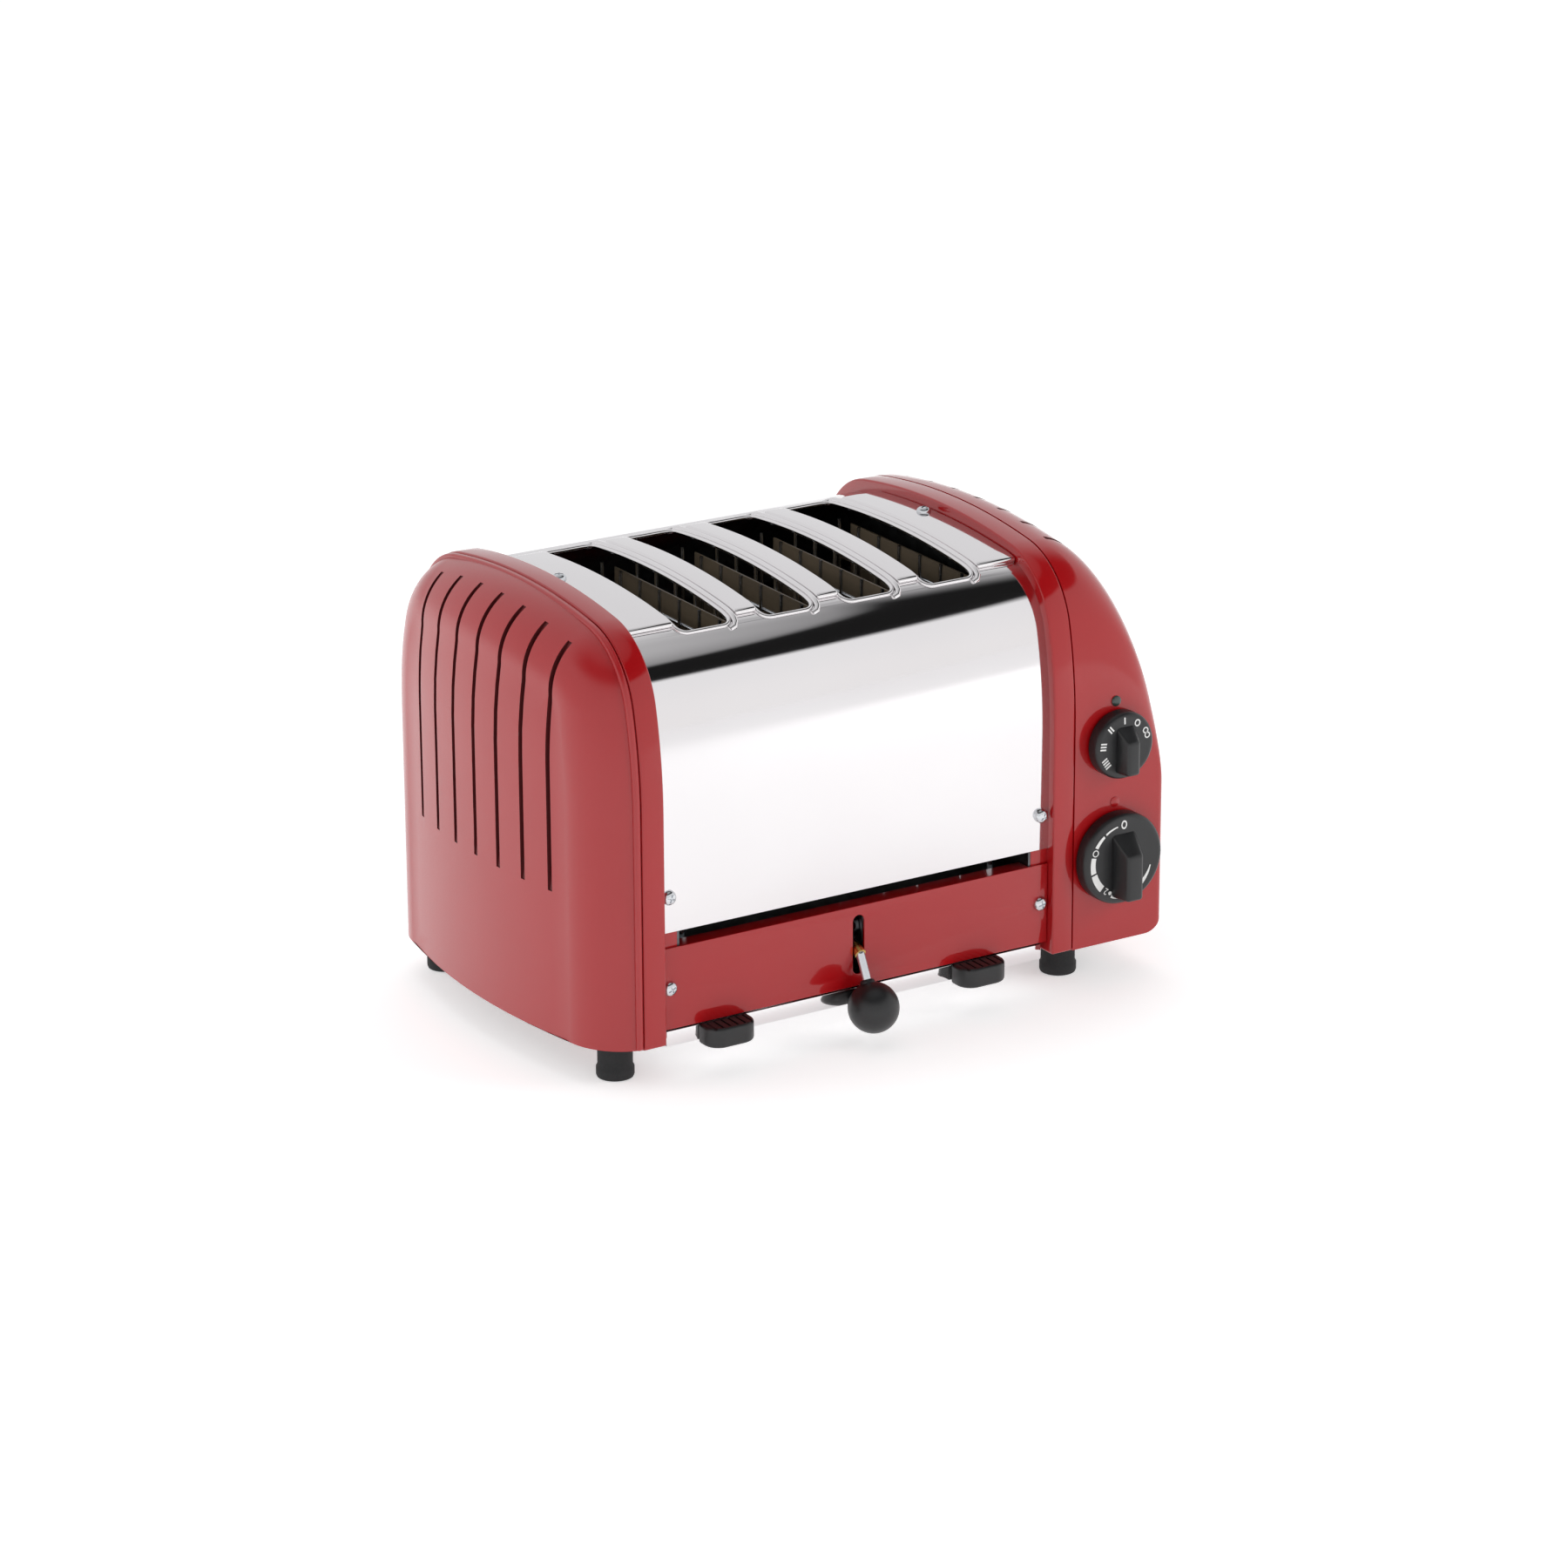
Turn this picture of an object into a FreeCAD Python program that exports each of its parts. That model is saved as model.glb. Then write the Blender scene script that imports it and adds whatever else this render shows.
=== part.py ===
import FreeCAD, Part
import math
import os
import re
import Sketcher

# Four-slot pop-up toaster, millimetres, +Z up, front towards -Y, controls on the +X end.
# The steel wrap is centred on X = 0 and Y = 0 while it is drawn; every piece is then shifted
# so that the origin is on the floor below the middle of the whole object.

# ---------------------------------------------------------------- driving dimensions
SIZES = [
    # the polished steel wrap
    ("steel_width", 214.6, "visible steel between the two end frames"),
    ("steel_depth", 200.0, "front face to rear face of the steel wrap"),
    ("steel_top", 213.0, "height of the crown of the steel wrap"),
    ("steel_bottom", 72.5, "lower edge of the steel wrap"),
    ("steel_wall", 1.0, "sheet thickness of the wrap"),
    ("steel_lap", 5.0, "how far the wrap runs in under each end frame"),
    ("steel_side_radius", 228.0, "gentle curve above the upright side"),
    ("steel_side_angle", 12.7, "sweep of that curve, degrees"),
    ("steel_crown_radius", 480.0, "curve of the top"),
    ("steel_crown_angle", 7.6, "half sweep of the top curve, degrees"),
    # bread slots and the raised bars between them
    ("slot_pitch", 44.5, "centre to centre of the bread slots"),
    ("slot_width", 28.5, "opening across one slice"),
    ("slot_front", 75.0, "front end of a slot ahead of the middle"),
    ("slot_rear", 54.0, "rear end of a slot behind the middle"),
    ("slot_corner", 5.0, "corner radius of a slot"),
    ("bar_rise", 2.7, "height of the raised bars over the wrap"),
    ("bar_front", 71.0, "front end of the raised bars"),
    ("bar_rear", 50.0, "rear end of the raised bars"),
    # end frames
    ("frame_width", 11.7, "width of each red end frame"),
    ("frame_proud", 4.4, "end frame stands proud of the steel side"),
    ("frame_top", 220.4, "height of the end frames"),
    ("frame_bottom", 19.0, "lower edge of frames and castings"),
    ("frame_wall", 4.0, "frame thickness inside the steel line"),
    ("frame_side_radius", 232.4, "gentle curve above the upright side"),
    ("frame_side_angle", 12.7, "sweep of that curve, degrees"),
    ("frame_crown_radius", 393.4, "curve of the frame top"),
    ("frame_crown_angle", 9.36, "half sweep of the frame top, degrees"),
    ("frame_sill", 5.0, "height of the bar across the foot of a frame"),
    ("flange_width", 9.3, "screw flange reaching in behind the steel"),
    ("flange_wall", 2.2, "thickness of the screw flange"),
    # left end casting
    ("cap_depth", 31.4, "left casting beyond its frame"),
    ("cap_step", 0.9, "casting surface below the frame surface"),
    ("cap_plan_radius", 360.0, "crown of the end face seen from above"),
    ("cap_upright", 150.0, "height where the end face starts to lean in"),
    ("cap_lean_radius", 250.0, "curve of the leaning part"),
    ("cap_corner", 30.0, "rounding between end face and sides"),
    ("cap_wall", 3.0, "casting thickness"),
    ("cap_lip_width", 3.6, "bead that meets the frame"),
    ("cap_lip_gap", 0.5, "bead below the frame surface"),
    # right control casting
    ("housing_depth", 52.6, "control casting beyond its frame"),
    ("housing_shoulder", 84.0, "height where its dome begins"),
    ("housing_dome_power", 2.35, "roundness of the dome"),
    ("housing_corner", 10.0, "rounding of the lower outer corner"),
    # louvres pressed in both end castings
    ("louvre_count", 7.0, "number of grooves"),
    ("louvre_pitch", 20.0, "spacing of the grooves"),
    ("louvre_width", 1.9, "groove width"),
    ("louvre_depth", 1.7, "groove depth"),
    ("louvre_bottom", 90.0, "lower end of the grooves"),
    ("louvre_margin", 11.5, "grooves stop this far from the frame"),
    # lower panels
    ("panel_bottom", 24.8, "lower edge of the red panels"),
    ("panel_top", 64.7, "upper edge of the red panels"),
    ("panel_wall", 1.2, "sheet thickness of the panels"),
    ("panel_fold", 9.0, "depth of the fold along the top edge"),
    ("lever_slot_width", 6.4, "slot for the lever"),
    ("lever_slot_bottom", 30.5, "lower end of the lever slot"),
    ("lever_slot_top", 60.2, "upper end of the lever slot"),
    # screws
    ("screw_inset", 4.4, "screw centre in from the frame edge"),
    ("top_screw_inset", 6.2, "top screw centre in from the frame edge"),
    ("screw_head", 3.5, "pan head radius"),
    ("screw_head_height", 2.4, "pan head height"),
    ("screw_shank", 1.7, "shank radius"),
    ("screw_length", 7.0, "shank length under the head"),
    ("steel_screw_height", 89.6, "height of the screws in the steel"),
    ("panel_screw_height", 45.0, "height of the screws in the panels"),
    # feet
    ("foot_radius", 9.0, "rubber foot radius"),
    ("foot_offset_left", 122.2, "left feet from the middle of the steel"),
    ("foot_offset_right", 126.2, "right feet from the middle of the steel"),
    ("foot_spread", 82.0, "feet in front of and behind the middle"),
    # crumb tray
    ("tray_bottom", 16.0, "underside of the crumb tray"),
    ("tray_height", 7.6, "height of the tray edge"),
    ("tray_wall", 0.9, "tray sheet thickness"),
    ("tray_rear", 88.0, "rear end of the tray behind the middle"),
    ("tray_gap", 0.5, "running gap round the tray"),
    ("grip_spread", 70.0, "tray grips either side of their middle"),
    ("grip_middle", -4.6, "middle of the two grips"),
    ("grip_width", 26.0, "width of a tray grip"),
    ("grip_reach", 13.0, "how far a grip stands out"),
    ("rail_wall", 1.2, "tray rail thickness"),
    # lever
    ("pivot_depth", 84.0, "lever pivot ahead of the middle"),
    ("pivot_height", 50.0, "lever pivot height"),
    ("pivot_radius", 3.0, "pivot shaft radius"),
    ("pivot_gap", 0.06, "running clearance on the pivot"),
    ("lever_radius", 2.2, "lever rod radius"),
    ("lever_elbow_depth", 101.5, "bend of the lever rod ahead of the middle"),
    ("lever_elbow_height", 41.0, "bend of the lever rod"),
    ("ball_depth", 113.0, "ball knob centre ahead of the middle"),
    ("ball_height", 18.0, "ball knob centre height"),
    ("ball_radius", 12.3, "ball knob radius"),
    ("lifter_reach", 45.0, "pivot to lifting bar"),
    ("lifter_angle", 22.0, "rest angle of the lifting arm, degrees"),
    ("lifter_radius", 3.0, "lifting bar radius"),
    ("lifter_span", 54.0, "length of the lifting bar"),
    # toast carriage
    ("rack_top", 103.0, "bread rests here with the carriage up"),
    ("rack_wall", 2.0, "rack strip thickness"),
    ("rack_width", 18.0, "rack strip width"),
    ("carriage_bar", 10.0, "carriage cross bar, front to back"),
    ("carriage_bar_height", 5.0, "carriage cross bar height"),
    ("carriage_gap", 0.4, "gap between lifting bar and carriage"),
    ("guide_radius", 2.5, "guide rod radius"),
    ("guide_gap", 0.08, "running clearance on the guide rods"),
    ("guide_offset", 86.0, "guide rods from the middle"),
    # heating elements
    ("board_wall", 0.8, "mica board thickness"),
    ("board_front", 70.0, "front edge of a board"),
    ("board_rear", 46.0, "rear edge of a board"),
    ("board_bottom", 78.0, "lower edge of a board"),
    ("board_top", 200.0, "upper edge of a board"),
    ("rail_bottom", 62.0, "underside of the lower element rails"),
    ("rail_height", 4.0, "height of the element rails"),
    ("upper_rail_bottom", 176.0, "underside of the upper element rails"),
    ("winding_count", 14.0, "heating ribbon turns on a board"),
    ("winding_height", 2.2, "ribbon width"),
    ("winding_wall", 0.35, "ribbon stand-off"),
    # guard wires
    ("guard_offset", 12.6, "guard wires from the middle of a slot"),
    ("guard_radius", 0.9, "guard wire radius"),
    ("guard_pitch", 18.0, "guard wire spacing"),
    ("guard_count", 7.0, "guard wires on each side of a slot"),
    ("guard_top", 205.0, "upper end of the guard wires"),
    ("chassis_wall", 1.2, "chassis plate thickness"),
    # controls
    ("control_offset", 142.6, "knob axes from the middle of the steel"),
    ("selector_height", 120.8, "selector knob axis height"),
    ("selector_radius", 16.6, "selector knob radius"),
    ("timer_height", 63.6, "timer knob axis height"),
    ("timer_radius", 22.8, "timer knob radius"),
    ("knob_skirt", 7.6, "thickness of a knob's disc"),
    ("knob_gap", 0.6, "gap between knob and casting"),
    ("grip_height", 12.5, "finger grip height over the disc"),
    ("spindle_radius", 3.0, "spindle radius"),
    ("spindle_gap", 0.08, "running clearance on a spindle"),
    ("lamp_height", 141.2, "pilot lamp height"),
    ("lamp_radius", 2.6, "pilot lamp radius"),
    ("index_height", 90.4, "timer index pip height"),
    ("inlet_height", 42.0, "cable gland height"),
    ("inlet_radius", 8.0, "cable gland flange radius"),
    ("inlet_proud", 5.0, "cable gland stands out of the rear"),
]

size = {name: value for name, value, note in SIZES}
slot_count = 4

doc = FreeCAD.newDocument("pop_up_toaster")
sheet = doc.addObject("Spreadsheet::Sheet", "sheet")
for row, (name, value, note) in enumerate(SIZES, start=1):
    sheet.set(f"A{row}", name)
    sheet.set(f"B{row}", str(value))
    sheet.set(f"C{row}", note)
    sheet.setAlias(f"B{row}", name)
doc.recompute()

# expressions used again and again
FRAME_IN = "(steel_width / 2)"
FRAME_OUT = "(steel_width / 2 + frame_width)"
HALF_DEPTH = "(steel_depth / 2)"
FACE = "(steel_depth / 2 + frame_proud)"
LEFT_END = f"({FRAME_OUT} + cap_depth)"
RIGHT_END = f"({FRAME_OUT} + housing_depth)"
KNOB_FRONT = f"({FACE} + knob_gap + knob_skirt + grip_height)"
REAR = f"({FACE} + inlet_proud)"
SHIFT_X = f"(({LEFT_END} - {RIGHT_END}) / 2)"
SHIFT_Y = f"(({KNOB_FRONT} - {REAR}) / 2)"

frame_in = size["steel_width"] / 2
frame_out = frame_in + size["frame_width"]
half_depth = size["steel_depth"] / 2
face = half_depth + size["frame_proud"]
left_end = frame_out + size["cap_depth"]
right_end = frame_out + size["housing_depth"]
knob_front = face + size["knob_gap"] + size["knob_skirt"] + size["grip_height"]
shift = FreeCAD.Vector((left_end - right_end) / 2,
                       (knob_front - face - size["inlet_proud"]) / 2, 0)



def outline_of(prefix, half_text, half):
    """Expressions and numbers of one loaf outline."""
    keys = ("top", "side_radius", "side_angle", "crown_radius", "crown_angle")
    top, side, lean, crown, sweep = (size[f"{prefix}_{key}"] for key in keys)
    numbers = (half, top, side, math.radians(lean), crown, math.radians(sweep))
    texts = {key: f"{prefix}_{key}" for key in keys}
    return dict(texts, half=half_text, numbers=numbers)


STEEL = outline_of("steel", HALF_DEPTH, half_depth)
FRAME = outline_of("frame", FACE, face)


# ---------------------------------------------------------------- helpers
def linked(text):
    """Point every named size in an expression at its cell."""
    return re.sub(r"[a-z_]+", lambda word: "sheet." + word[0] if word[0] in size else word[0], text)


def bind(thing, prop, text):
    thing.setExpression(prop, linked(text))


def block(name, x, y, z):
    """Box between pairs of expressions, drawn about the middle of the steel."""
    box = doc.addObject("Part::Box", name)
    for side, axis, (low, high), move in (("Length", "x", x, SHIFT_X), ("Width", "y", y, SHIFT_Y),
                                          ("Height", "z", z, "0")):
        bind(box, side, f"({high}) - ({low})")
        bind(box, f"Placement.Base.{axis}", f"({low}) + {move}")
    return box


def rod(name, along, centre, span, radius):
    """Cylinder along an axis; centre holds its two other coordinates."""
    bar = doc.addObject("Part::Cylinder", name)
    turn = {"x": ((0, 1, 0), 90), "y": ((1, 0, 0), -90), "z": ((0, 0, 1), 0)}[along]
    bar.Placement.Rotation = FreeCAD.Rotation(FreeCAD.Vector(*turn[0]), turn[1])
    places = dict(zip([axis for axis in "xyz" if axis != along], centre))
    places[along] = span[0]
    for axis, move in (("x", SHIFT_X), ("y", SHIFT_Y), ("z", "0")):
        bind(bar, f"Placement.Base.{axis}", f"({places[axis]}) + {move}")
    bind(bar, "Height", f"({span[1]}) - ({span[0]})")
    bind(bar, "Radius", radius)
    return bar


def fuse(name, pieces):
    whole = doc.addObject("Part::MultiFuse", name)
    whole.Shapes = pieces
    whole.Refine = True
    return whole


def group(name, pieces):
    """Separate solids kept in one node."""
    whole = doc.addObject("Part::Compound", name)
    whole.Links = pieces
    return whole


def common(name, pieces):
    whole = doc.addObject("Part::MultiCommon", name)
    whole.Shapes = pieces
    return whole


def cut(name, base, tools):
    whole = doc.addObject("Part::Cut", name)
    whole.Base = base
    whole.Tool = tools[0] if len(tools) == 1 else group(name + "_tools", tools)
    return whole


def rounded(name, base, radius, pick):
    """Fillet the edges of a finished shape that pick() accepts."""
    doc.recompute()
    whole = doc.addObject("Part::Fillet", name)
    whole.Base = base
    whole.Edges = [(number, radius, radius) for number, edge in enumerate(base.Shape.Edges, 1)
                   if pick(edge)]
    return whole


def plane_of(body, role):
    return [feature for feature in body.Origin.OriginFeatures if feature.Role == role][0]


def new_sketch(body, name, role, offsets):
    sketch = body.newObject("Sketcher::SketchObject", name)
    sketch.AttachmentSupport = [(plane_of(body, role), "")]
    sketch.MapMode = "FlatFace"
    for axis, text in offsets.items():
        bind(sketch, f"AttachmentOffset.Base.{axis}", text)
    return sketch


def driven(sketch, kind, places, text, value):
    """Add a dimension and drive it from the sheet."""
    number = sketch.addConstraint(Sketcher.Constraint(kind, *places, value))
    bind(sketch, f"Constraints[{number}]", text)


def number(text):
    """Value of a plain sum of named sizes and numbers."""
    total = 0.0
    for sign, word in re.findall(r"([+-]?)\s*([a-z_]+|[0-9.]+)", text):
        value = size[word] if word in size else float(word)
        total += -value if sign == "-" else value
    return total


def loaf_values(outline, inset):
    """Numbers of a loaf outline: half depth, top, radii and the height of the upright side."""
    half, top, side, lean, crown, sweep = outline["numbers"]
    half, top, side, crown = half - inset, top - inset, side - inset, crown - inset
    shoulder = (half - side * (1 - math.cos(lean)) - crown * math.sin(sweep))
    shoulder /= math.cos(lean) - math.sin(sweep)
    upright = top - side * math.sin(lean) - crown * (1 - math.cos(sweep))
    upright -= shoulder * (math.cos(sweep) - math.sin(lean))
    return half, top, side, lean, crown, sweep, shoulder, upright


def loaf(name, outline, x, bottom, inset="0"):
    """Pad the loaf outline from x[0] to x[1]; inset draws a parallel outline inside it."""
    body = doc.addObject("PartDesign::Body", name)
    sketch = new_sketch(body, name + "_outline", "YZ_Plane",
                        {"x": SHIFT_Y, "z": f"({x[0]}) + {SHIFT_X}"})
    half, top, side, lean, crown, sweep, shoulder, upright = loaf_values(outline, number(inset))
    base = number(bottom)
    point = FreeCAD.Vector
    centre_side = (half - side, upright)
    gap = side - shoulder
    centre_shoulder = (centre_side[0] + gap * math.cos(lean), upright + gap * math.sin(lean))
    quarter = math.pi / 2

    def arc(x_centre, z_centre, radius, start, end):
        circle = Part.Circle(point(x_centre, z_centre, 0), point(0, 0, 1), radius)
        return Part.ArcOfCircle(circle, start, end)

    sketch.addGeometry([
        Part.LineSegment(point(-half, base, 0), point(half, base, 0)),
        Part.LineSegment(point(half, base, 0), point(half, upright, 0)),
        arc(*centre_side, side, 0, lean),
        arc(*centre_shoulder, shoulder, lean, quarter - sweep),
        arc(0, top - crown, crown, quarter - sweep, quarter + sweep),
        arc(-centre_shoulder[0], centre_shoulder[1], shoulder, quarter + sweep, math.pi - lean),
        arc(-centre_side[0], centre_side[1], side, math.pi - lean, math.pi),
        Part.LineSegment(point(-half, upright, 0), point(-half, base, 0)),
    ], False)
    for first, second in ((1, 2), (2, 3), (3, 4), (4, 5), (5, 6), (6, 7)):
        sketch.addConstraint(Sketcher.Constraint("Tangent", first, 2, second, 1))
    sketch.addConstraint([
        Sketcher.Constraint("Coincident", 0, 2, 1, 1), Sketcher.Constraint("Coincident", 7, 2, 0, 1),
        Sketcher.Constraint("Vertical", 1), Sketcher.Constraint("Vertical", 7),
        Sketcher.Constraint("Symmetric", 0, 1, 0, 2, -2),
        Sketcher.Constraint("PointOnObject", 4, 3, -2), Sketcher.Constraint("Equal", 2, 6),
        Sketcher.Constraint("Equal", 3, 5),
    ])
    driven(sketch, "DistanceX", (0, 1, 0, 2), f"2 * ({outline['half']} - ({inset}))", 2 * half)
    driven(sketch, "DistanceY", (-1, 1, 0, 1), bottom, base)
    driven(sketch, "Radius", (2,), f"{outline['side_radius']} - ({inset})", side)
    driven(sketch, "Radius", (4,), f"{outline['crown_radius']} - ({inset})", crown)
    driven(sketch, "Angle", (2,), f"{outline['side_angle']} * 1deg", lean)
    driven(sketch, "Angle", (4,), f"2 * {outline['crown_angle']} * 1deg", 2 * sweep)
    driven(sketch, "DistanceY", (-1, 1, 4, 3), f"{outline['top']} - {outline['crown_radius']}",
           top - crown)
    pad = body.newObject("PartDesign::Pad", name + "_pad")
    pad.Profile = sketch
    bind(pad, "Length", f"({x[1]}) - ({x[0]})")
    return body


def mirrored(side, low, high):
    """Range from low to high on the +X side, or its mirror on the -X side."""
    return (low, high) if side > 0 else (f"-({high})", f"-({low})")


def link(name, start, end, radius):
    """Round bar in the plane X = 0 between two (y, z) points given as numbers."""
    bar = doc.addObject("Part::Cylinder", name)
    way = FreeCAD.Vector(0, end[0] - start[0], end[1] - start[1])
    bar.Height = way.Length
    turn = FreeCAD.Rotation(FreeCAD.Vector(0, 0, 1), way)
    bar.Placement = FreeCAD.Placement(FreeCAD.Vector(0, start[0], start[1]) + shift, turn)
    bind(bar, "Radius", radius)
    return bar


def ball(name, centre, radius):
    """Sphere about a (y, z) point in the plane X = 0."""
    whole = doc.addObject("Part::Sphere", name)
    whole.Placement.Base = FreeCAD.Vector(0, *centre) + shift
    bind(whole, "Radius", radius)
    return whole


nodes = {}


def keep(name, shape):
    """Register a finished piece under the name of its node."""
    shape.Label = name
    nodes[name] = shape
    return shape


# ---------------------------------------------------------------- screws
def screw(name, along, centre, surface, way):
    """Pan head screw; the head stands on the surface and the shank runs inwards."""
    head = (surface, f"{surface} + {way} * screw_head_height")
    shank = (f"{surface} - {way} * screw_length", surface)
    if way < 0:
        head, shank = head[::-1], shank[::-1]
    return fuse(name, [rod(name + "_head", along, centre, head, "screw_head"),
                       rod(name + "_shank", along, centre, shank, "screw_shank")])


def screw_row(name, height, way):
    pieces = []
    for side in (-1, 1):
        place = (f"{side} * ({FRAME_IN} - screw_inset)", height)
        mark = f"{name}_{side + 1}_{way + 1}"
        pieces.append(screw(mark, "y", place, f"{way} * {HALF_DEPTH}", way))
    return pieces


steel_screws = screw_row("steel_screw", "steel_screw_height", -1)
steel_screws += screw_row("steel_screw", "steel_screw_height", 1)
panel_screws = screw_row("panel_screw", "panel_screw_height", -1)
panel_screws += screw_row("panel_screw", "panel_screw_height", 1)
top_screws = [screw(f"top_screw_{side + 1}", "z", (f"{side} * ({FRAME_IN} - top_screw_inset)", "0"),
                    "(steel_top + bar_rise)", 1) for side in (-1, 1)]
keep("shell_screws", group("shell_screw_set", steel_screws))
keep("panel_screws", group("panel_screw_set", panel_screws))
keep("top_screws", group("top_screw_set", top_screws))
all_screws = steel_screws + panel_screws + top_screws


# ---------------------------------------------------------------- end frames
def end_frame(name, side):
    rebate_end = f"{FRAME_IN} + steel_lap + 0.3"
    ring = loaf(name + "_ring", FRAME, mirrored(side, FRAME_IN, FRAME_OUT), "frame_bottom")
    sill = "frame_bottom + frame_sill"
    hole = loaf(name + "_hole", STEEL, mirrored(side, f"{FRAME_IN} - 1", f"{FRAME_OUT} + 1"), sill,
                "frame_wall")
    rebate = loaf(name + "_rebate", STEEL, mirrored(side, f"{FRAME_IN} - 1", rebate_end), sill, "-0.2")
    flange_x = mirrored(side, f"{FRAME_IN} - flange_width", f"{rebate_end} + 1")
    outer = loaf(name + "_flange", STEEL, flange_x, "panel_bottom + 1", "panel_wall")
    inner_x = mirrored(side, f"{FRAME_IN} - flange_width - 1", f"{rebate_end} + 2")
    inner = loaf(name + "_flange_hole", STEEL, inner_x, "panel_bottom", "panel_wall + flange_wall")
    opened = cut(name + "_open", ring, [hole, rebate])
    flange = cut(name + "_flange_ring", outer, [inner])
    whole = fuse(name + "_whole", [opened, flange])
    return keep(name, cut(name + "_drilled", whole, all_screws))


end_frame("left_end_frame", -1)
end_frame("right_end_frame", 1)


# ---------------------------------------------------------------- steel wrap with its bread slots
def slot_middle(number_of_slot):
    return f"({number_of_slot} - {(slot_count - 1) / 2}) * slot_pitch"


def body_shell():
    wide = f"({FRAME_IN} + steel_lap)"
    outer = loaf("wrap_outer", STEEL, (f"-{wide}", wide), "steel_bottom")
    inner = loaf("wrap_inner", STEEL, (f"-{wide} - 1", f"{wide} + 1"), "steel_bottom - 1", "steel_wall")
    crown = loaf("bar_crown", STEEL, (f"-{FRAME_IN} + 0.2", f"{FRAME_IN} - 0.2"), "steel_bottom",
                 "0 - bar_rise")
    patch = block("bar_patch", (f"-{FRAME_IN}", FRAME_IN), ("-bar_front", "bar_rear"),
                  ("steel_top / 2", "steel_top + 10"))
    bars = common("bars", [crown, patch])
    tools = [inner] + all_screws
    for number_of_slot in range(slot_count):
        middle = slot_middle(number_of_slot)
        opening = block(f"slot_{number_of_slot}", (f"{middle} - slot_width / 2", f"{middle} + slot_width / 2"),
                        ("-slot_front", "slot_rear"), ("steel_top / 2", "steel_top + 12"))
        tools.append(rounded(f"slot_{number_of_slot}_round", opening, size["slot_corner"],
                             lambda edge: edge.BoundBox.ZLength > 1))
    return keep("body_shell", cut("shell_cut", fuse("shell_blank", [outer, bars]), tools))


body_shell()


# ---------------------------------------------------------------- lower panels and cross members
def lower_panel(name, way):
    def span(near, far):
        ends = (f"{way} * ({HALF_DEPTH} - {near})", f"{way} * ({HALF_DEPTH} - {far})")
        return ends if way < 0 else ends[::-1]

    sheet_part = block(name + "_sheet", (f"-{FRAME_IN} + 0.3", f"{FRAME_IN} - 0.3"), span("0", "panel_wall"),
                       ("panel_bottom", "panel_top"))
    inside = f"({FRAME_IN} - flange_width - chassis_wall - 0.3)"
    fold = block(name + "_fold", (f"-{inside}", inside), span("panel_wall / 2", "panel_fold"),
                 ("panel_top - panel_wall", "panel_top"))
    tools = list(all_screws)
    if way < 0:
        run = ("-lever_slot_width / 2", "lever_slot_width / 2")
        level = ("lever_slot_bottom + lever_slot_width / 2", "lever_slot_top - lever_slot_width / 2")
        through = (f"-{HALF_DEPTH} - 1", f"-{HALF_DEPTH} + panel_wall + 1")
        tools.append(block("lever_slot", run, through, level))
        for mark, height in zip(("low", "high"), level):
            tools.append(rod("lever_slot_" + mark, "y", ("0", height), through, "lever_slot_width / 2"))
    return keep(name, cut(name + "_cut", fuse(name + "_blank", [sheet_part, fold]), tools))


def cross_member(name, way):
    near, far = f"{way} * ({HALF_DEPTH} - 3.6)", f"{way} * ({HALF_DEPTH} - 22)"
    wide = f"({FRAME_IN} + steel_lap + 0.3)"
    deep = (near, far) if way < 0 else (far, near)
    return keep(name, block(name, (f"-{wide}", wide), deep, ("panel_bottom + 2.2", "panel_bottom + 4.2")))


lower_panel("front_lower_panel", -1)
lower_panel("rear_lower_panel", 1)
cross_member("front_cross_member", -1)
cross_member("rear_cross_member", 1)

for node, side in (("left_chassis_plate", -1), ("right_chassis_plate", 1)):
    inner_edge = f"{FRAME_IN} - flange_width"
    keep(node, loaf(node, STEEL, mirrored(side, f"{inner_edge} - chassis_wall", inner_edge),
                    "panel_bottom + 4.2", "panel_wall + 0.3"))
keep("heat_shield", loaf("heat_shield", STEEL, (f"{FRAME_OUT} - 2", f"{FRAME_OUT} - 1"),
                         "frame_bottom + frame_sill", "frame_wall"))


# ---------------------------------------------------------------- left end casting
def beyond_end(name, inset):
    """Everything outside the crowned end face, which stands upright and leans in above."""
    radius, lean = size["cap_plan_radius"] - inset, size["cap_lean_radius"] - inset
    rows = []
    for row in range(13):
        across = -120 + row * 20
        line = []
        for level in range(13):
            height = -4 + level * 20
            above = max(height - size["cap_upright"], 0)
            x = -left_end + inset + radius - math.sqrt(radius ** 2 - across ** 2)
            x += lean - math.sqrt(lean ** 2 - above ** 2)
            line.append(FreeCAD.Vector(x, across, height) + shift)
        rows.append(line)
    surface = Part.BSplineSurface()
    surface.interpolate(rows)
    whole = doc.addObject("Part::Feature", name)
    whole.Shape = surface.toShape().extrude(FreeCAD.Vector(-60, 0, 0))
    return whole


def left_dome(name, inset_text, inset):
    """Left casting's outer shape, drawn smaller by the inset."""
    deep = 20.0
    run = (f"-{LEFT_END} - 5", f"-{FRAME_OUT} + {deep}")
    slab = loaf(name + "_slab", FRAME, run, "frame_bottom", f"cap_step + {inset_text}")
    blank = cut(name + "_blank", slab, [beyond_end(name + "_beyond", inset)])

    def rim(edge):
        box = edge.BoundBox
        along_x = box.XLength > 2 and box.YLength < 0.01 and box.ZLength < 0.01
        level = box.ZLength < 0.01
        on_back = box.XMax > -frame_out + shift.x + deep - 1
        return not (along_x or level or on_back)

    soft = rounded(name + "_soft", blank, size["cap_corner"] - inset, rim)
    limit = block(name + "_limit", (f"-{LEFT_END} - 6", f"-{FRAME_OUT}"), (f"-{FACE} - 1", f"{FACE} + 1"),
                  ("0", "frame_top + 20"))
    return common(name, [soft, limit])


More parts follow.
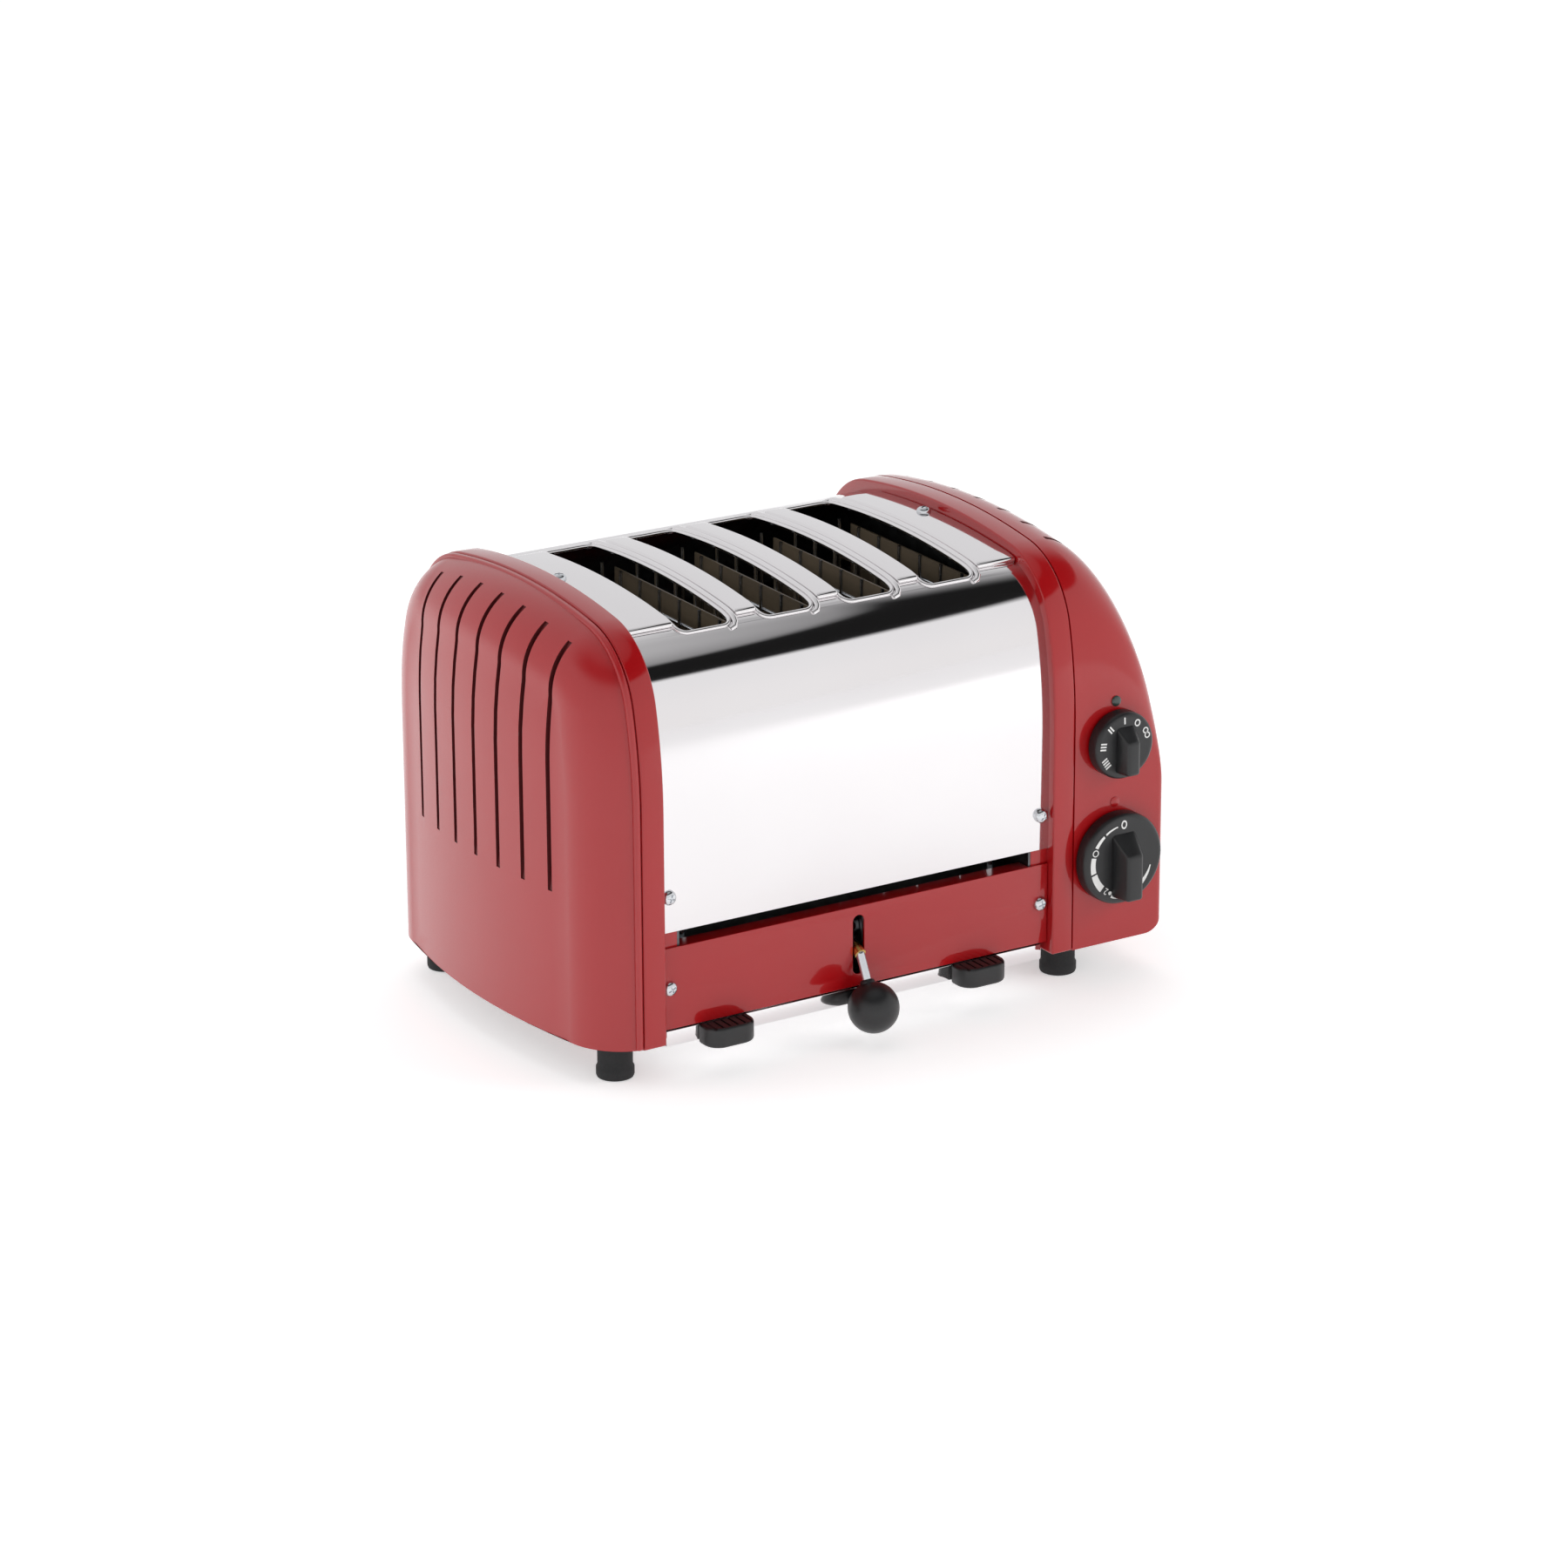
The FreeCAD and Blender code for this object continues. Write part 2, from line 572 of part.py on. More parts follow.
def louvre_slabs(name, low, high):
    """Upright slabs that cut the grooves, between two x positions."""
    slabs = []
    count = int(size["louvre_count"])
    for number_of_groove in range(count):
        middle = f"({number_of_groove} - {(count - 1) / 2}) * louvre_pitch"
        slabs.append(block(f"{name}_{number_of_groove}", (low, high),
                           (f"{middle} - louvre_width / 2", f"{middle} + louvre_width / 2"),
                           ("louvre_bottom", "frame_top + 10")))
    return slabs


def left_end_cap():
    outer = left_dome("cap_outer", "0", 0.0)
    groove_floor = left_dome("cap_floor", "louvre_depth", size["louvre_depth"])
    hollow = left_dome("cap_hollow", "cap_wall", size["cap_wall"])
    slabs = louvre_slabs("cap_louvre", f"-{LEFT_END} - 2", f"-({FRAME_OUT} + louvre_margin)")
    grooves = cut("cap_grooves", group("cap_slabs", slabs), [groove_floor])
    lip_x = (f"-({FRAME_OUT} + cap_lip_width)", f"-{FRAME_OUT}")
    lip = loaf("cap_lip", FRAME, lip_x, "frame_bottom", "cap_lip_gap")
    blank = fuse("cap_blank", [outer, lip])
    return keep("left_end_cap", cut("cap_cut", blank, [hollow, grooves])), hollow


cap, cap_hollow = left_end_cap()


# ---------------------------------------------------------------- right control casting
def loaf_height(outline, inset, across):
    """Height of a loaf outline at a distance from its middle."""
    half, top, side, lean, crown, sweep, shoulder, upright = loaf_values(outline, inset)
    across = min(abs(across), half)
    if across <= crown * math.sin(sweep):
        return top - crown + math.sqrt(crown ** 2 - across ** 2)
    gap = side - shoulder
    y_centre, z_centre = half - side + gap * math.cos(lean), upright + gap * math.sin(lean)
    if across <= y_centre + shoulder * math.cos(lean):
        return z_centre + math.sqrt(max(shoulder ** 2 - (across - y_centre) ** 2, 0))
    return upright + math.sqrt(max(side ** 2 - (across - half + side) ** 2, 0))


def control_dome(name, inset):
    """Loft of loaf outlines that sink towards the outer end, drawn smaller by the inset."""
    half, top, upright = [loaf_values(FRAME, inset)[number_of] for number_of in (0, 1, 7)]
    low, springs = size["frame_bottom"], size["housing_shoulder"]
    start, end = frame_out, right_end - inset
    steps, points, power = 12, 32, size["housing_dome_power"]
    wires = []
    for step in range(steps + 1):
        along = math.sin(math.pi / 2 * step / steps)
        sink = (1 - (0.996 * along) ** power) ** (1 / power)
        x = start + (end - start) * along + shift.x

        def at(across, height):
            return FreeCAD.Vector(x, across + shift.y, height)

        edge_height = springs + (upright - springs) * sink
        top_line = []
        for count in range(points + 1):
            across = -half * math.cos(math.pi * count / points)
            height = loaf_height(FRAME, inset, across)
            top_line.append(at(across, springs + (height - springs) * sink))
        curve = Part.BSplineCurve()
        curve.interpolate(top_line)
        wires.append(Part.Wire([
            Part.LineSegment(at(half, low), at(-half, low)).toShape(),
            Part.LineSegment(at(-half, low), at(-half, edge_height)).toShape(),
            curve.toShape(),
            Part.LineSegment(at(half, edge_height), at(half, low)).toShape(),
        ]))
    whole = doc.addObject("Part::Feature", name)
    whole.Shape = Part.makeLoft(wires, True, False)
    return whole


def control_housing():
    outer = control_dome("housing_outer", 0.0)
    end_x = right_end + shift.x

    def lower_corner(edge):
        box = edge.BoundBox
        return box.XMin > end_x - 0.01 and box.ZMax < size["frame_bottom"] + 0.01

    outer = rounded("housing_round", outer, size["housing_corner"], lower_corner)
    groove_floor = control_dome("housing_floor", size["louvre_depth"])
    hollow = control_dome("housing_hollow", size["cap_wall"])
    slabs = louvre_slabs("housing_louvre", f"{FRAME_OUT} + louvre_margin / 2", f"{RIGHT_END} + 2")
    grooves = cut("housing_grooves", group("housing_slabs", slabs), [groove_floor])
    front = (f"-{FACE} - 5", f"-{FACE} + 8")
    rear = (f"{FACE} - 8", f"{FACE} + 5")
    holes = [
        rod("selector_hole", "y", ("control_offset", "selector_height"), front, "spindle_radius + spindle_gap"),
        rod("timer_hole", "y", ("control_offset", "timer_height"), front, "spindle_radius + spindle_gap"),
        rod("lamp_hole", "y", ("control_offset", "lamp_height"), front, "lamp_radius"),
        rod("index_hole", "y", ("control_offset", "index_height"), front, "lamp_radius"),
        rod("inlet_hole", "y", ("control_offset", "inlet_height"), rear, "inlet_radius - 3"),
    ]
    return keep("control_housing", cut("housing_cut", outer, [hollow, grooves] + holes)), hollow


housing, housing_hollow = control_housing()

for node, hollow, x in (("left_base_plate", cap_hollow, (f"-{LEFT_END}", f"-{FRAME_OUT}")),
                        ("right_base_plate", housing_hollow, (FRAME_OUT, f"{RIGHT_END} - housing_corner"))):
    sheet_part = block(node + "_sheet", x, (f"-{FACE}", FACE), ("frame_bottom", "frame_bottom + 2"))
    keep(node, common(node, [sheet_part, hollow]))


# ---------------------------------------------------------------- feet
for node, x, y in (("foot_front_left", "-foot_offset_left", "-foot_spread"),
                   ("foot_rear_left", "-foot_offset_left", "foot_spread"),
                   ("foot_front_right", "foot_offset_right", "-foot_spread"),
                   ("foot_rear_right", "foot_offset_right", "foot_spread")):
    keep(node, rounded(node + "_round", rod(node, "z", (x, y), ("0", "frame_bottom"), "foot_radius"), 1.2,
                       lambda edge: edge.BoundBox.ZMax < 0.01))


# ---------------------------------------------------------------- crumb tray
def crumb_tray():
    wide, front = f"({FRAME_IN} - 2.9)", f"-({HALF_DEPTH} - 1)"
    outer = block("tray_outer", (f"-{wide}", wide), (front, "tray_rear"),
                  ("tray_bottom", "tray_bottom + tray_height"))
    inner = block("tray_inner", (f"-{wide} + tray_wall", f"{wide} - tray_wall"),
                  (f"{front} + tray_wall", "tray_rear - tray_wall"),
                  ("tray_bottom + tray_wall", "tray_bottom + tray_height + 1"))
    keep("crumb_tray", cut("tray_cut", outer, [inner]))
    for node, side in (("tray_grip_left", -1), ("tray_grip_right", 1)):
        middle = f"(grip_middle + {side} * grip_spread)"
        tab = block(node + "_tab", (f"{middle} - grip_width / 2", f"{middle} + grip_width / 2"),
                    (f"{front} - grip_reach", front), ("tray_bottom - 1.5", "tray_bottom + tray_height + 0.8"))
        front_y = -half_depth + 1 - size["grip_reach"] + shift.y
        soft = rounded(node + "_soft", tab, 8.0,
                       lambda edge: edge.BoundBox.ZLength > 5 and edge.BoundBox.YMax < front_y + 0.01)
        keep(node, soft)
    for node, side in (("tray_rail_left", -1), ("tray_rail_right", 1)):
        ledge_top = "tray_bottom - tray_gap"
        ledge = block(node + "_ledge", mirrored(side, f"{FRAME_IN} - 7", FRAME_IN), ("-85", "tray_rear"),
                      (f"{ledge_top} - rail_wall", ledge_top))
        wall = block(node + "_wall", mirrored(side, f"{FRAME_IN} - rail_wall", FRAME_IN), ("-85", "tray_rear"),
                     (f"{ledge_top} - rail_wall / 2", "frame_bottom + frame_sill"))
        keep(node, fuse(node + "_whole", [ledge, wall]))


crumb_tray()


# ---------------------------------------------------------------- lever
pivot = (-size["pivot_depth"], size["pivot_height"])
elbow = (-size["lever_elbow_depth"], size["lever_elbow_height"])
knob_centre = (-size["ball_depth"], size["ball_height"])
reach, tilt = size["lifter_reach"], math.radians(size["lifter_angle"])
tip = (pivot[0] + reach * math.cos(tilt), pivot[1] + reach * math.sin(tilt))
TIP_Y = "(-pivot_depth + lifter_reach * cos(lifter_angle * 1deg))"
TIP_Z = "(pivot_height + lifter_reach * sin(lifter_angle * 1deg))"


def lever():
    inner_rod = link("lever_inner_rod", pivot, elbow, "lever_radius")
    outer_rod = link("lever_outer_rod", elbow, knob_centre, "lever_radius")
    bend = ball("lever_bend", elbow, "lever_radius")
    arm = link("lever_lifting_arm", pivot, tip, "lever_radius")
    hub = rod("lever_hub", "x", ("-pivot_depth", "pivot_height"), ("-6.5", "6.5"), "pivot_radius + 3")
    bar = rod("lever_bar", "x", (TIP_Y, TIP_Z), ("-lifter_span / 2", "lifter_span / 2"), "lifter_radius")
    bore = rod("lever_bore", "x", ("-pivot_depth", "pivot_height"), ("-8", "8"), "pivot_radius + pivot_gap")
    keep("lever_arm", cut("lever_cut", fuse("lever_blank", [inner_rod, outer_rod, bend, arm, hub, bar]), [bore]))
    knob = ball("lever_ball", knob_centre, "ball_radius")
    keep("lever_ball_knob", cut("ball_cut", knob, [outer_rod]))
    near = [elbow[axis] + (pivot[axis] - elbow[axis]) * 0.3 for axis in (0, 1)]
    sleeve = link("lever_sleeve", elbow, near, "lever_radius + 0.6")
    keep("lever_collar", cut("collar_cut", sleeve, [inner_rod, outer_rod, bend]))
    shaft = rod("lever_shaft", "x", ("-pivot_depth", "pivot_height"), ("-11", "11"), "pivot_radius")
    keep("lever_pivot_shaft", shaft)
    floor = "panel_bottom + 4.2"
    deep = ("-pivot_depth - 8", "-pivot_depth + 6")
    foot = block("bracket_foot", ("-9", "9"), deep, (floor, f"{floor} + 1.5"))
    cheeks = [block(f"bracket_cheek_{side + 1}", mirrored(side, "7", "9"), deep, (floor, "pivot_height + 7"))
              for side in (-1, 1)]
    keep("lever_bracket", cut("bracket_cut", fuse("bracket_blank", [foot] + cheeks), [shaft]))


lever()


# ---------------------------------------------------------------- toast carriage and its guides
CHASSIS_IN = f"({FRAME_IN} - flange_width - chassis_wall)"
FRONT_GUIDE = "(-slot_front - 6)"
REAR_GUIDE = "(board_rear + 9)"


def carriage():
    half_bar = "carriage_bar / 2"
    level = ("rack_top - carriage_bar_height", "rack_top")
    bars, guides, bores = [], [], []
    for mark, middle in (("front", FRONT_GUIDE), ("rear", REAR_GUIDE)):
        bars.append(block(f"carriage_{mark}", ("-guide_offset - 6", "guide_offset + 6"),
                          (f"{middle} - {half_bar}", f"{middle} + {half_bar}"), level))
        for side in (-1, 1):
            place = (f"{side} * guide_offset", middle)
            name = f"guide_{mark}_{side + 1}"
            guides.append(rod(name, "z", place, ("rail_bottom", "upper_rail_bottom"), "guide_radius"))
            bores.append(rod(name + "_bore", "z", place, ("rack_top - 20", "rack_top + 5"),
                             "guide_radius + guide_gap"))
    keep("guide_rods", group("guide_rod_set", guides))
    keep("carriage_bars", cut("carriage_cut", group("carriage_bar_set", bars), bores))
    for number_of_slot in range(slot_count):
        middle = slot_middle(number_of_slot)
        ends = (f"{FRONT_GUIDE} + {half_bar}", f"{REAR_GUIDE} - {half_bar}")
        name = f"bread_rack_{number_of_slot + 1}"
        pieces = [block(name + "_strip", (f"{middle} - rack_width / 2", f"{middle} + rack_width / 2"), ends,
                        ("rack_top - rack_wall", "rack_top"))]
        for rib in range(int(size["guard_count"])):
            at_rib = f"({FRONT_GUIDE} + {half_bar} + 9 + {rib} * guard_pitch)"
            pieces.append(block(f"{name}_rib_{rib}", (f"{middle} - rack_width / 2", f"{middle} + rack_width / 2"),
                                (at_rib, f"{at_rib} + 1.5"), ("rack_top - rack_wall / 2", "rack_top + 2.5")))
        if number_of_slot in (1, 2):
            pieces.append(block(name + "_post", (f"{middle} - 1.5", f"{middle} + 1.5"),
                                (f"{TIP_Y} - 9", f"{TIP_Y} + 9"),
                                (f"{TIP_Z} + lifter_radius + carriage_gap", "rack_top - rack_wall / 2")))
        keep(name, fuse(name + "_whole", pieces))


carriage()


def rails():
    wide = (f"-{CHASSIS_IN}", CHASSIS_IN)
    low = ("rail_bottom", "rail_bottom + rail_height")
    below = ("rail_bottom - rail_height", "rail_bottom")
    high = ("upper_rail_bottom", "upper_rail_bottom + rail_height")
    keep("element_rails_lower", group("lower_rail_set", [
        block("lower_rail_front", wide, ("-board_front + 1", "-board_front + 7"), low),
        block("lower_rail_rear", wide, ("board_rear - 7", "board_rear - 1"), low)]))
    keep("guide_rails", group("guide_rail_set", [
        block("guide_rail_front", wide, (f"{FRONT_GUIDE} - 5", f"{FRONT_GUIDE} + 5"), below),
        block("guide_rail_rear", wide, (f"{REAR_GUIDE} - 5", f"{REAR_GUIDE} + 5"), below)]))
    keep("element_rails_upper", group("upper_rail_set", [
        block("upper_rail_front", wide, (f"{FRONT_GUIDE} - 3", f"{FRONT_GUIDE} + 3"), high),
        block("upper_rail_rear", wide, (f"{REAR_GUIDE} - 3", f"{REAR_GUIDE} + 3"), high)]))


rails()


# ---------------------------------------------------------------- heating elements and guard wires
def elements():
    windings = []
    count = int(size["winding_count"])
    for number_of_board in range(slot_count + 1):
        middle = f"(({number_of_board} - {slot_count / 2}) * slot_pitch)"
        x = (f"{middle} - board_wall / 2", f"{middle} + board_wall / 2")
        name = f"heating_element_{number_of_board + 1}"
        ear = ("upper_rail_bottom + rail_height", "upper_rail_bottom + rail_height + 8")
        pieces = [
            block(name + "_board", x, ("-board_front", "board_rear"), ("board_bottom", "board_top")),
            block(name + "_leg_front", x, ("-board_front", "-board_front + 8"),
                  ("rail_bottom + rail_height", "board_bottom + 1")),
            block(name + "_leg_rear", x, ("board_rear - 8", "board_rear"),
                  ("rail_bottom + rail_height", "board_bottom + 1")),
            block(name + "_ears", x, (f"{FRONT_GUIDE} - 3", f"{REAR_GUIDE} + 3"), ear),
        ]
        board = keep(name, fuse(name + "_whole", pieces))
        wrap = "(board_wall / 2 + winding_wall)"
        deep = ("-board_front - winding_wall", "board_rear + winding_wall")
        top = "(upper_rail_bottom - 6)"
        turns = [block(f"{name}_return", (f"{middle} - {wrap}", f"{middle} + {wrap}"),
                       ("board_rear", "board_rear + winding_wall"), ("board_bottom + 6", f"{top} - 2"))]
        for turn in range(count):
            level = f"(board_bottom + 6 + {turn} * ({top} - board_bottom - 12) / ({count} - 1))"
            turns.append(block(f"{name}_turn_{turn}", (f"{middle} - {wrap}", f"{middle} + {wrap}"),
                               deep, (level, f"{level} + winding_height")))
        windings.append(cut(f"{name}_winding", fuse(f"{name}_turns", turns), [board]))
    keep("element_windings", group("element_winding_set", windings))


def guards():
    """Two wire grids beside each slot; only the end wires reach down to the rails."""
    first = "(-board_front + 4)"
    rail_top = "rail_bottom + rail_height"
    last_wire = int(size["guard_count"]) - 1
    for number_of_slot in range(slot_count):
        name = f"bread_guard_{number_of_slot + 1}"
        grids = []
        for side in (-1, 1):
            x = f"({slot_middle(number_of_slot)} + {side} * guard_offset)"
            wires = []
            for wire in range(last_wire + 1):
                base = rail_top if wire in (0, last_wire) else "board_bottom"
                wires.append(rod(f"{name}_{side + 1}_up_{wire}", "z", (x, f"{first} + {wire} * guard_pitch"),
                                 (base, "guard_top"), "guard_radius"))
            for mark, level in enumerate(("board_bottom + 2", "(board_bottom + board_top) / 2", "guard_top - 12")):
                wires.append(rod(f"{name}_{side + 1}_across_{mark}", "y", (f"{x} + {side} * guard_radius * 1.3", level),
                                 (f"{first} - 2", f"{first} + (guard_count - 1) * guard_pitch + 2"),
                                 "guard_radius"))
            grids.append(fuse(f"{name}_grid_{side + 1}", wires))
        keep(name, group(f"{name}_pair", grids))


elements()
guards()


# ---------------------------------------------------------------- controls
def control(name, height, radius, body_half, body_depth):
    """Switch or timer inside the casting, its spindle and its knob."""
    wall_in = f"-({FACE} - cap_wall)"
    place = ("control_offset", height)
    skirt = (f"-({FACE} + knob_gap + knob_skirt)", f"-({FACE} + knob_gap)")
    spindle_end = f"{wall_in} + {body_depth} / 2"
    spindle = rod(name + "_spindle_rod", "y", place, (f"{skirt[0]} + 0.5", spindle_end), "spindle_radius")
    keep(name + "_spindle", spindle)
    disc = rod(name + "_disc", "y", place, skirt, radius)
    grip = block(name + "_grip", ("control_offset - 6", "control_offset + 6"),
                 (f"-({KNOB_FRONT})", f"{skirt[0]} + 1"),
                 (f"{height} - {radius} * 0.8", f"{height} + {radius} * 0.8"))
    keep(name + "_knob", cut(name + "_knob_cut", fuse(name + "_knob_blank", [disc, grip]), [spindle]))
    bore = rod(name + "_bore", "y", place, (f"{wall_in} - 1", f"{spindle_end} + 1"),
               "spindle_radius + spindle_gap")
    case = block(name + "_case", (f"control_offset - {body_half}", f"control_offset + {body_half}"),
                 (wall_in, f"{wall_in} + {body_depth}"), (f"{height} - {body_half}", f"{height} + {body_half}"))
    keep(name + "_body", cut(name + "_body_cut", case, [bore]))


control("timer", "timer_height", "timer_radius", "19", "32")
control("selector", "selector_height", "selector_radius", "12", "24")
keep("pilot_lamp", rod("pilot_lamp", "y", ("control_offset", "lamp_height"),
                       (f"-{FACE} - 0.8", f"-{FACE} + 7"), "lamp_radius"))
keep("timer_index_pip", rod("timer_index_pip", "y", ("control_offset", "index_height"),
                            (f"-{FACE} - 0.5", f"-{FACE} + 3"), "lamp_radius"))


def cable_gland():
    place = ("control_offset", "inlet_height")
    flange = rod("gland_flange", "y", place, (FACE, f"{FACE} + inlet_proud"), "inlet_radius")
    neck = rod("gland_neck", "y", place, (f"{FACE} - 6", f"{FACE} + 1"), "inlet_radius - 3")
    bore = rod("gland_bore", "y", place, (f"{FACE} - 7", f"{FACE} + inlet_proud + 1"), "inlet_radius - 4.6")
    keep("cable_gland", cut("gland_cut", fuse("gland_blank", [flange, neck]), [bore]))


cable_gland()
keep("terminal_block", block("terminal_block", ("control_offset - 12", "control_offset + 12"),
                             ("30", "60"), ("frame_bottom + 2", "frame_bottom + 18")))


# ---------------------------------------------------------------- check and write
doc.recompute()
for thing in doc.Objects:
    if "Invalid" in thing.State or "Error" in thing.State:
        raise RuntimeError(f"{thing.Label} did not build: {thing.State}")
for name, piece in nodes.items():
    if piece.Shape.isNull() or not piece.Shape.isValid() or not piece.Shape.Solids:
        raise RuntimeError(f"{name} has no valid solid")

os.makedirs("parts", exist_ok=True)
for name, piece in nodes.items():
    piece.Shape.exportStep(f"parts/{name}.step")
    box = piece.Shape.BoundBox
    print(f"{name:22s} {len(piece.Shape.Solids):3d} solids {piece.Shape.Volume / 1000:9.2f} cm3"
          f"  x {box.XMin:7.1f} {box.XMax:7.1f}  y {box.YMin:7.1f} {box.YMax:7.1f}"
          f"  z {box.ZMin:6.1f} {box.ZMax:6.1f}")
print(len(nodes), "nodes")
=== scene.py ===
import bmesh
import bpy
import math
from mathutils import Euler, Matrix, Vector
from mathutils.bvhtree import BVHTree


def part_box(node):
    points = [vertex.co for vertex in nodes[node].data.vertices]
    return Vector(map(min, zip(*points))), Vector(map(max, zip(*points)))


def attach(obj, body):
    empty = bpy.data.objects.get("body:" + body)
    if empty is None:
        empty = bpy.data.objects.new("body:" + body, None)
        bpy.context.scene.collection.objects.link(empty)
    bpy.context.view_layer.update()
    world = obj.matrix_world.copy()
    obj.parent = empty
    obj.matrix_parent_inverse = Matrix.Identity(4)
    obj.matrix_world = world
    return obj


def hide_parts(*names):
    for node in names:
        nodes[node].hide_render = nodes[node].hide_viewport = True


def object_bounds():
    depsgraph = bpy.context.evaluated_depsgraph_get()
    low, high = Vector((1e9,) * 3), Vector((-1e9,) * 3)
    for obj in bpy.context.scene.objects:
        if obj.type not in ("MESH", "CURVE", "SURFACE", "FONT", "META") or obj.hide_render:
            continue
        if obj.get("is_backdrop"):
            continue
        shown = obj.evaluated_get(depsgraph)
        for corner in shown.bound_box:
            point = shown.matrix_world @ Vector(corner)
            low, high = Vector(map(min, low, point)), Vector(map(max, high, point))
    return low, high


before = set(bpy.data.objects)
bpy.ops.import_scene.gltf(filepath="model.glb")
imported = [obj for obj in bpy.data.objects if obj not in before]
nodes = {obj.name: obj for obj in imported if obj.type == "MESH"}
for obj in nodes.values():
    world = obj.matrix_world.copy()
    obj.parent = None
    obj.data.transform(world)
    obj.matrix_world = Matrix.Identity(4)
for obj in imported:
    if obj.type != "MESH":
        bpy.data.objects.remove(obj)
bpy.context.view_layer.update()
mm = 0.001
wrapLow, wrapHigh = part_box("body_shell")
midX, midY = (wrapLow.x + wrapHigh.x) / 2 / mm, (wrapLow.y + wrapHigh.y) / 2 / mm
print("frame loaded, steel centred on", round(midX, 2), round(midY, 2))


def place(x, y, z):
    # millimetres from the middle of the steel wrap, floor up
    return Vector(((x + midX) * mm, (y + midY) * mm, z * mm))


# shader helpers
def hexColor(text):
    channels = [int(text[i:i + 2], 16) / 255 for i in (1, 3, 5)]
    return tuple(c / 12.92 if c <= 0.04045 else ((c + 0.055) / 1.055) ** 2.4 for c in channels) + (1.0,)


def addNode(tree, kind, settings=None, values=None, links=None):
    node = tree.nodes.new(kind)
    for key, value in (settings or {}).items():
        setattr(node, key, value)
    for key, value in (values or {}).items():
        node.inputs[key].default_value = value
    for key, socket in (links or {}).items():
        tree.links.new(socket, node.inputs[key])
    return node


def newMaterial(name):
    material = bpy.data.materials.new(name)
    material.use_nodes = True
    tree = material.node_tree
    shader = tree.nodes["Principled BSDF"]
    where = addNode(tree, "ShaderNodeTexCoord").outputs["Object"]
    return material, tree, shader, where


def colourWander(tree, shader, where, darker, lighter, grain):
    # slow drift between two close colours, grain in millimetres
    noise = addNode(tree, "ShaderNodeTexNoise", values={"Scale": 1 / (grain * mm), "Detail": 3.0},
                    links={"Vector": where})
    mix = addNode(tree, "ShaderNodeMix", {"data_type": "RGBA"}, links={0: noise.outputs["Fac"]})
    mix.inputs[6].default_value = hexColor(darker)
    mix.inputs[7].default_value = hexColor(lighter)
    tree.links.new(mix.outputs[2], shader.inputs["Base Color"])


def roughWander(tree, shader, where, low, high, grain, stretch=(1, 1, 1)):
    scaled = addNode(tree, "ShaderNodeMapping", values={"Scale": stretch}, links={"Vector": where})
    noise = addNode(tree, "ShaderNodeTexNoise", values={"Scale": 1 / (grain * mm), "Detail": 4.0},
                    links={"Vector": scaled.outputs[0]})
    ranged = addNode(tree, "ShaderNodeMapRange", values={"To Min": low, "To Max": high},
                     links={"Value": noise.outputs["Fac"]})
    tree.links.new(ranged.outputs[0], shader.inputs["Roughness"])
    return noise


def bumped(tree, shader, height, strength, distance):
    bump = addNode(tree, "ShaderNodeBump", values={"Strength": strength, "Distance": distance * mm},
                   links={"Height": height})
    tree.links.new(bump.outputs[0], shader.inputs["Normal"])


def redEnamel():
    # sprayed and baked enamel: hard clear gloss over a deep red, faint orange peel about 1.5 mm across
    material, tree, shader, where = newMaterial("redEnamel")
    colourWander(tree, shader, where, "#9f090f", "#a50d13", 60)
    shader.inputs["Specular IOR Level"].default_value = 0.15
    noise = roughWander(tree, shader, where, 0.30, 0.36, 1.5)
    bumped(tree, shader, noise.outputs["Fac"], 0.05, 0.05)
    shader.inputs["IOR"].default_value = 1.5
    shader.inputs["Coat Weight"].default_value = 1.0
    shader.inputs["Coat Roughness"].default_value = 0.04
    shader.inputs["Coat IOR"].default_value = 1.5
    return material


def satinEnamel():
    # the same red over a sand cast face: softer gloss, finer peel about 0.8 mm across
    material, tree, shader, where = newMaterial("satinEnamel")
    colourWander(tree, shader, where, "#a00c12", "#a61118", 50)
    shader.inputs["Specular IOR Level"].default_value = 0.3
    noise = roughWander(tree, shader, where, 0.38, 0.46, 0.8)
    bumped(tree, shader, noise.outputs["Fac"], 0.12, 0.06)
    shader.inputs["IOR"].default_value = 1.5
    shader.inputs["Coat Weight"].default_value = 0.9
    shader.inputs["Coat Roughness"].default_value = 0.24
    shader.inputs["Coat IOR"].default_value = 1.5
    return material


def louvrePaintedShade():
    # enamel deep in a groove, darkened with painted shade
    material, tree, shader, where = newMaterial("louvrePaintedShade")
    colourWander(tree, shader, where, "#45070a", "#5c0b0e", 12)
    roughWander(tree, shader, where, 0.5, 0.65, 2)
    return material


def polishedSteel():
    # bright annealed 304 sheet: mirror finish with a trace of rolling grain along X, 0.4 mm apart
    material, tree, shader, where = newMaterial("polishedSteel")
    shader.inputs["Metallic"].default_value = 1.0
    colourWander(tree, shader, where, "#e5e2e3", "#ebe9ea", 90)
    noise = roughWander(tree, shader, where, 0.05, 0.09, 0.4, (0.02, 1, 1))
    bumped(tree, shader, noise.outputs["Fac"], 0.02, 0.02)
    return material


def platedSteel():
    # bright zinc or nickel plate on wire, rod and screws
    material, tree, shader, where = newMaterial("platedSteel")
    shader.inputs["Metallic"].default_value = 1.0
    colourWander(tree, shader, where, "#c9ccd0", "#dadcdf", 15)
    roughWander(tree, shader, where, 0.12, 0.24, 2)
    return material


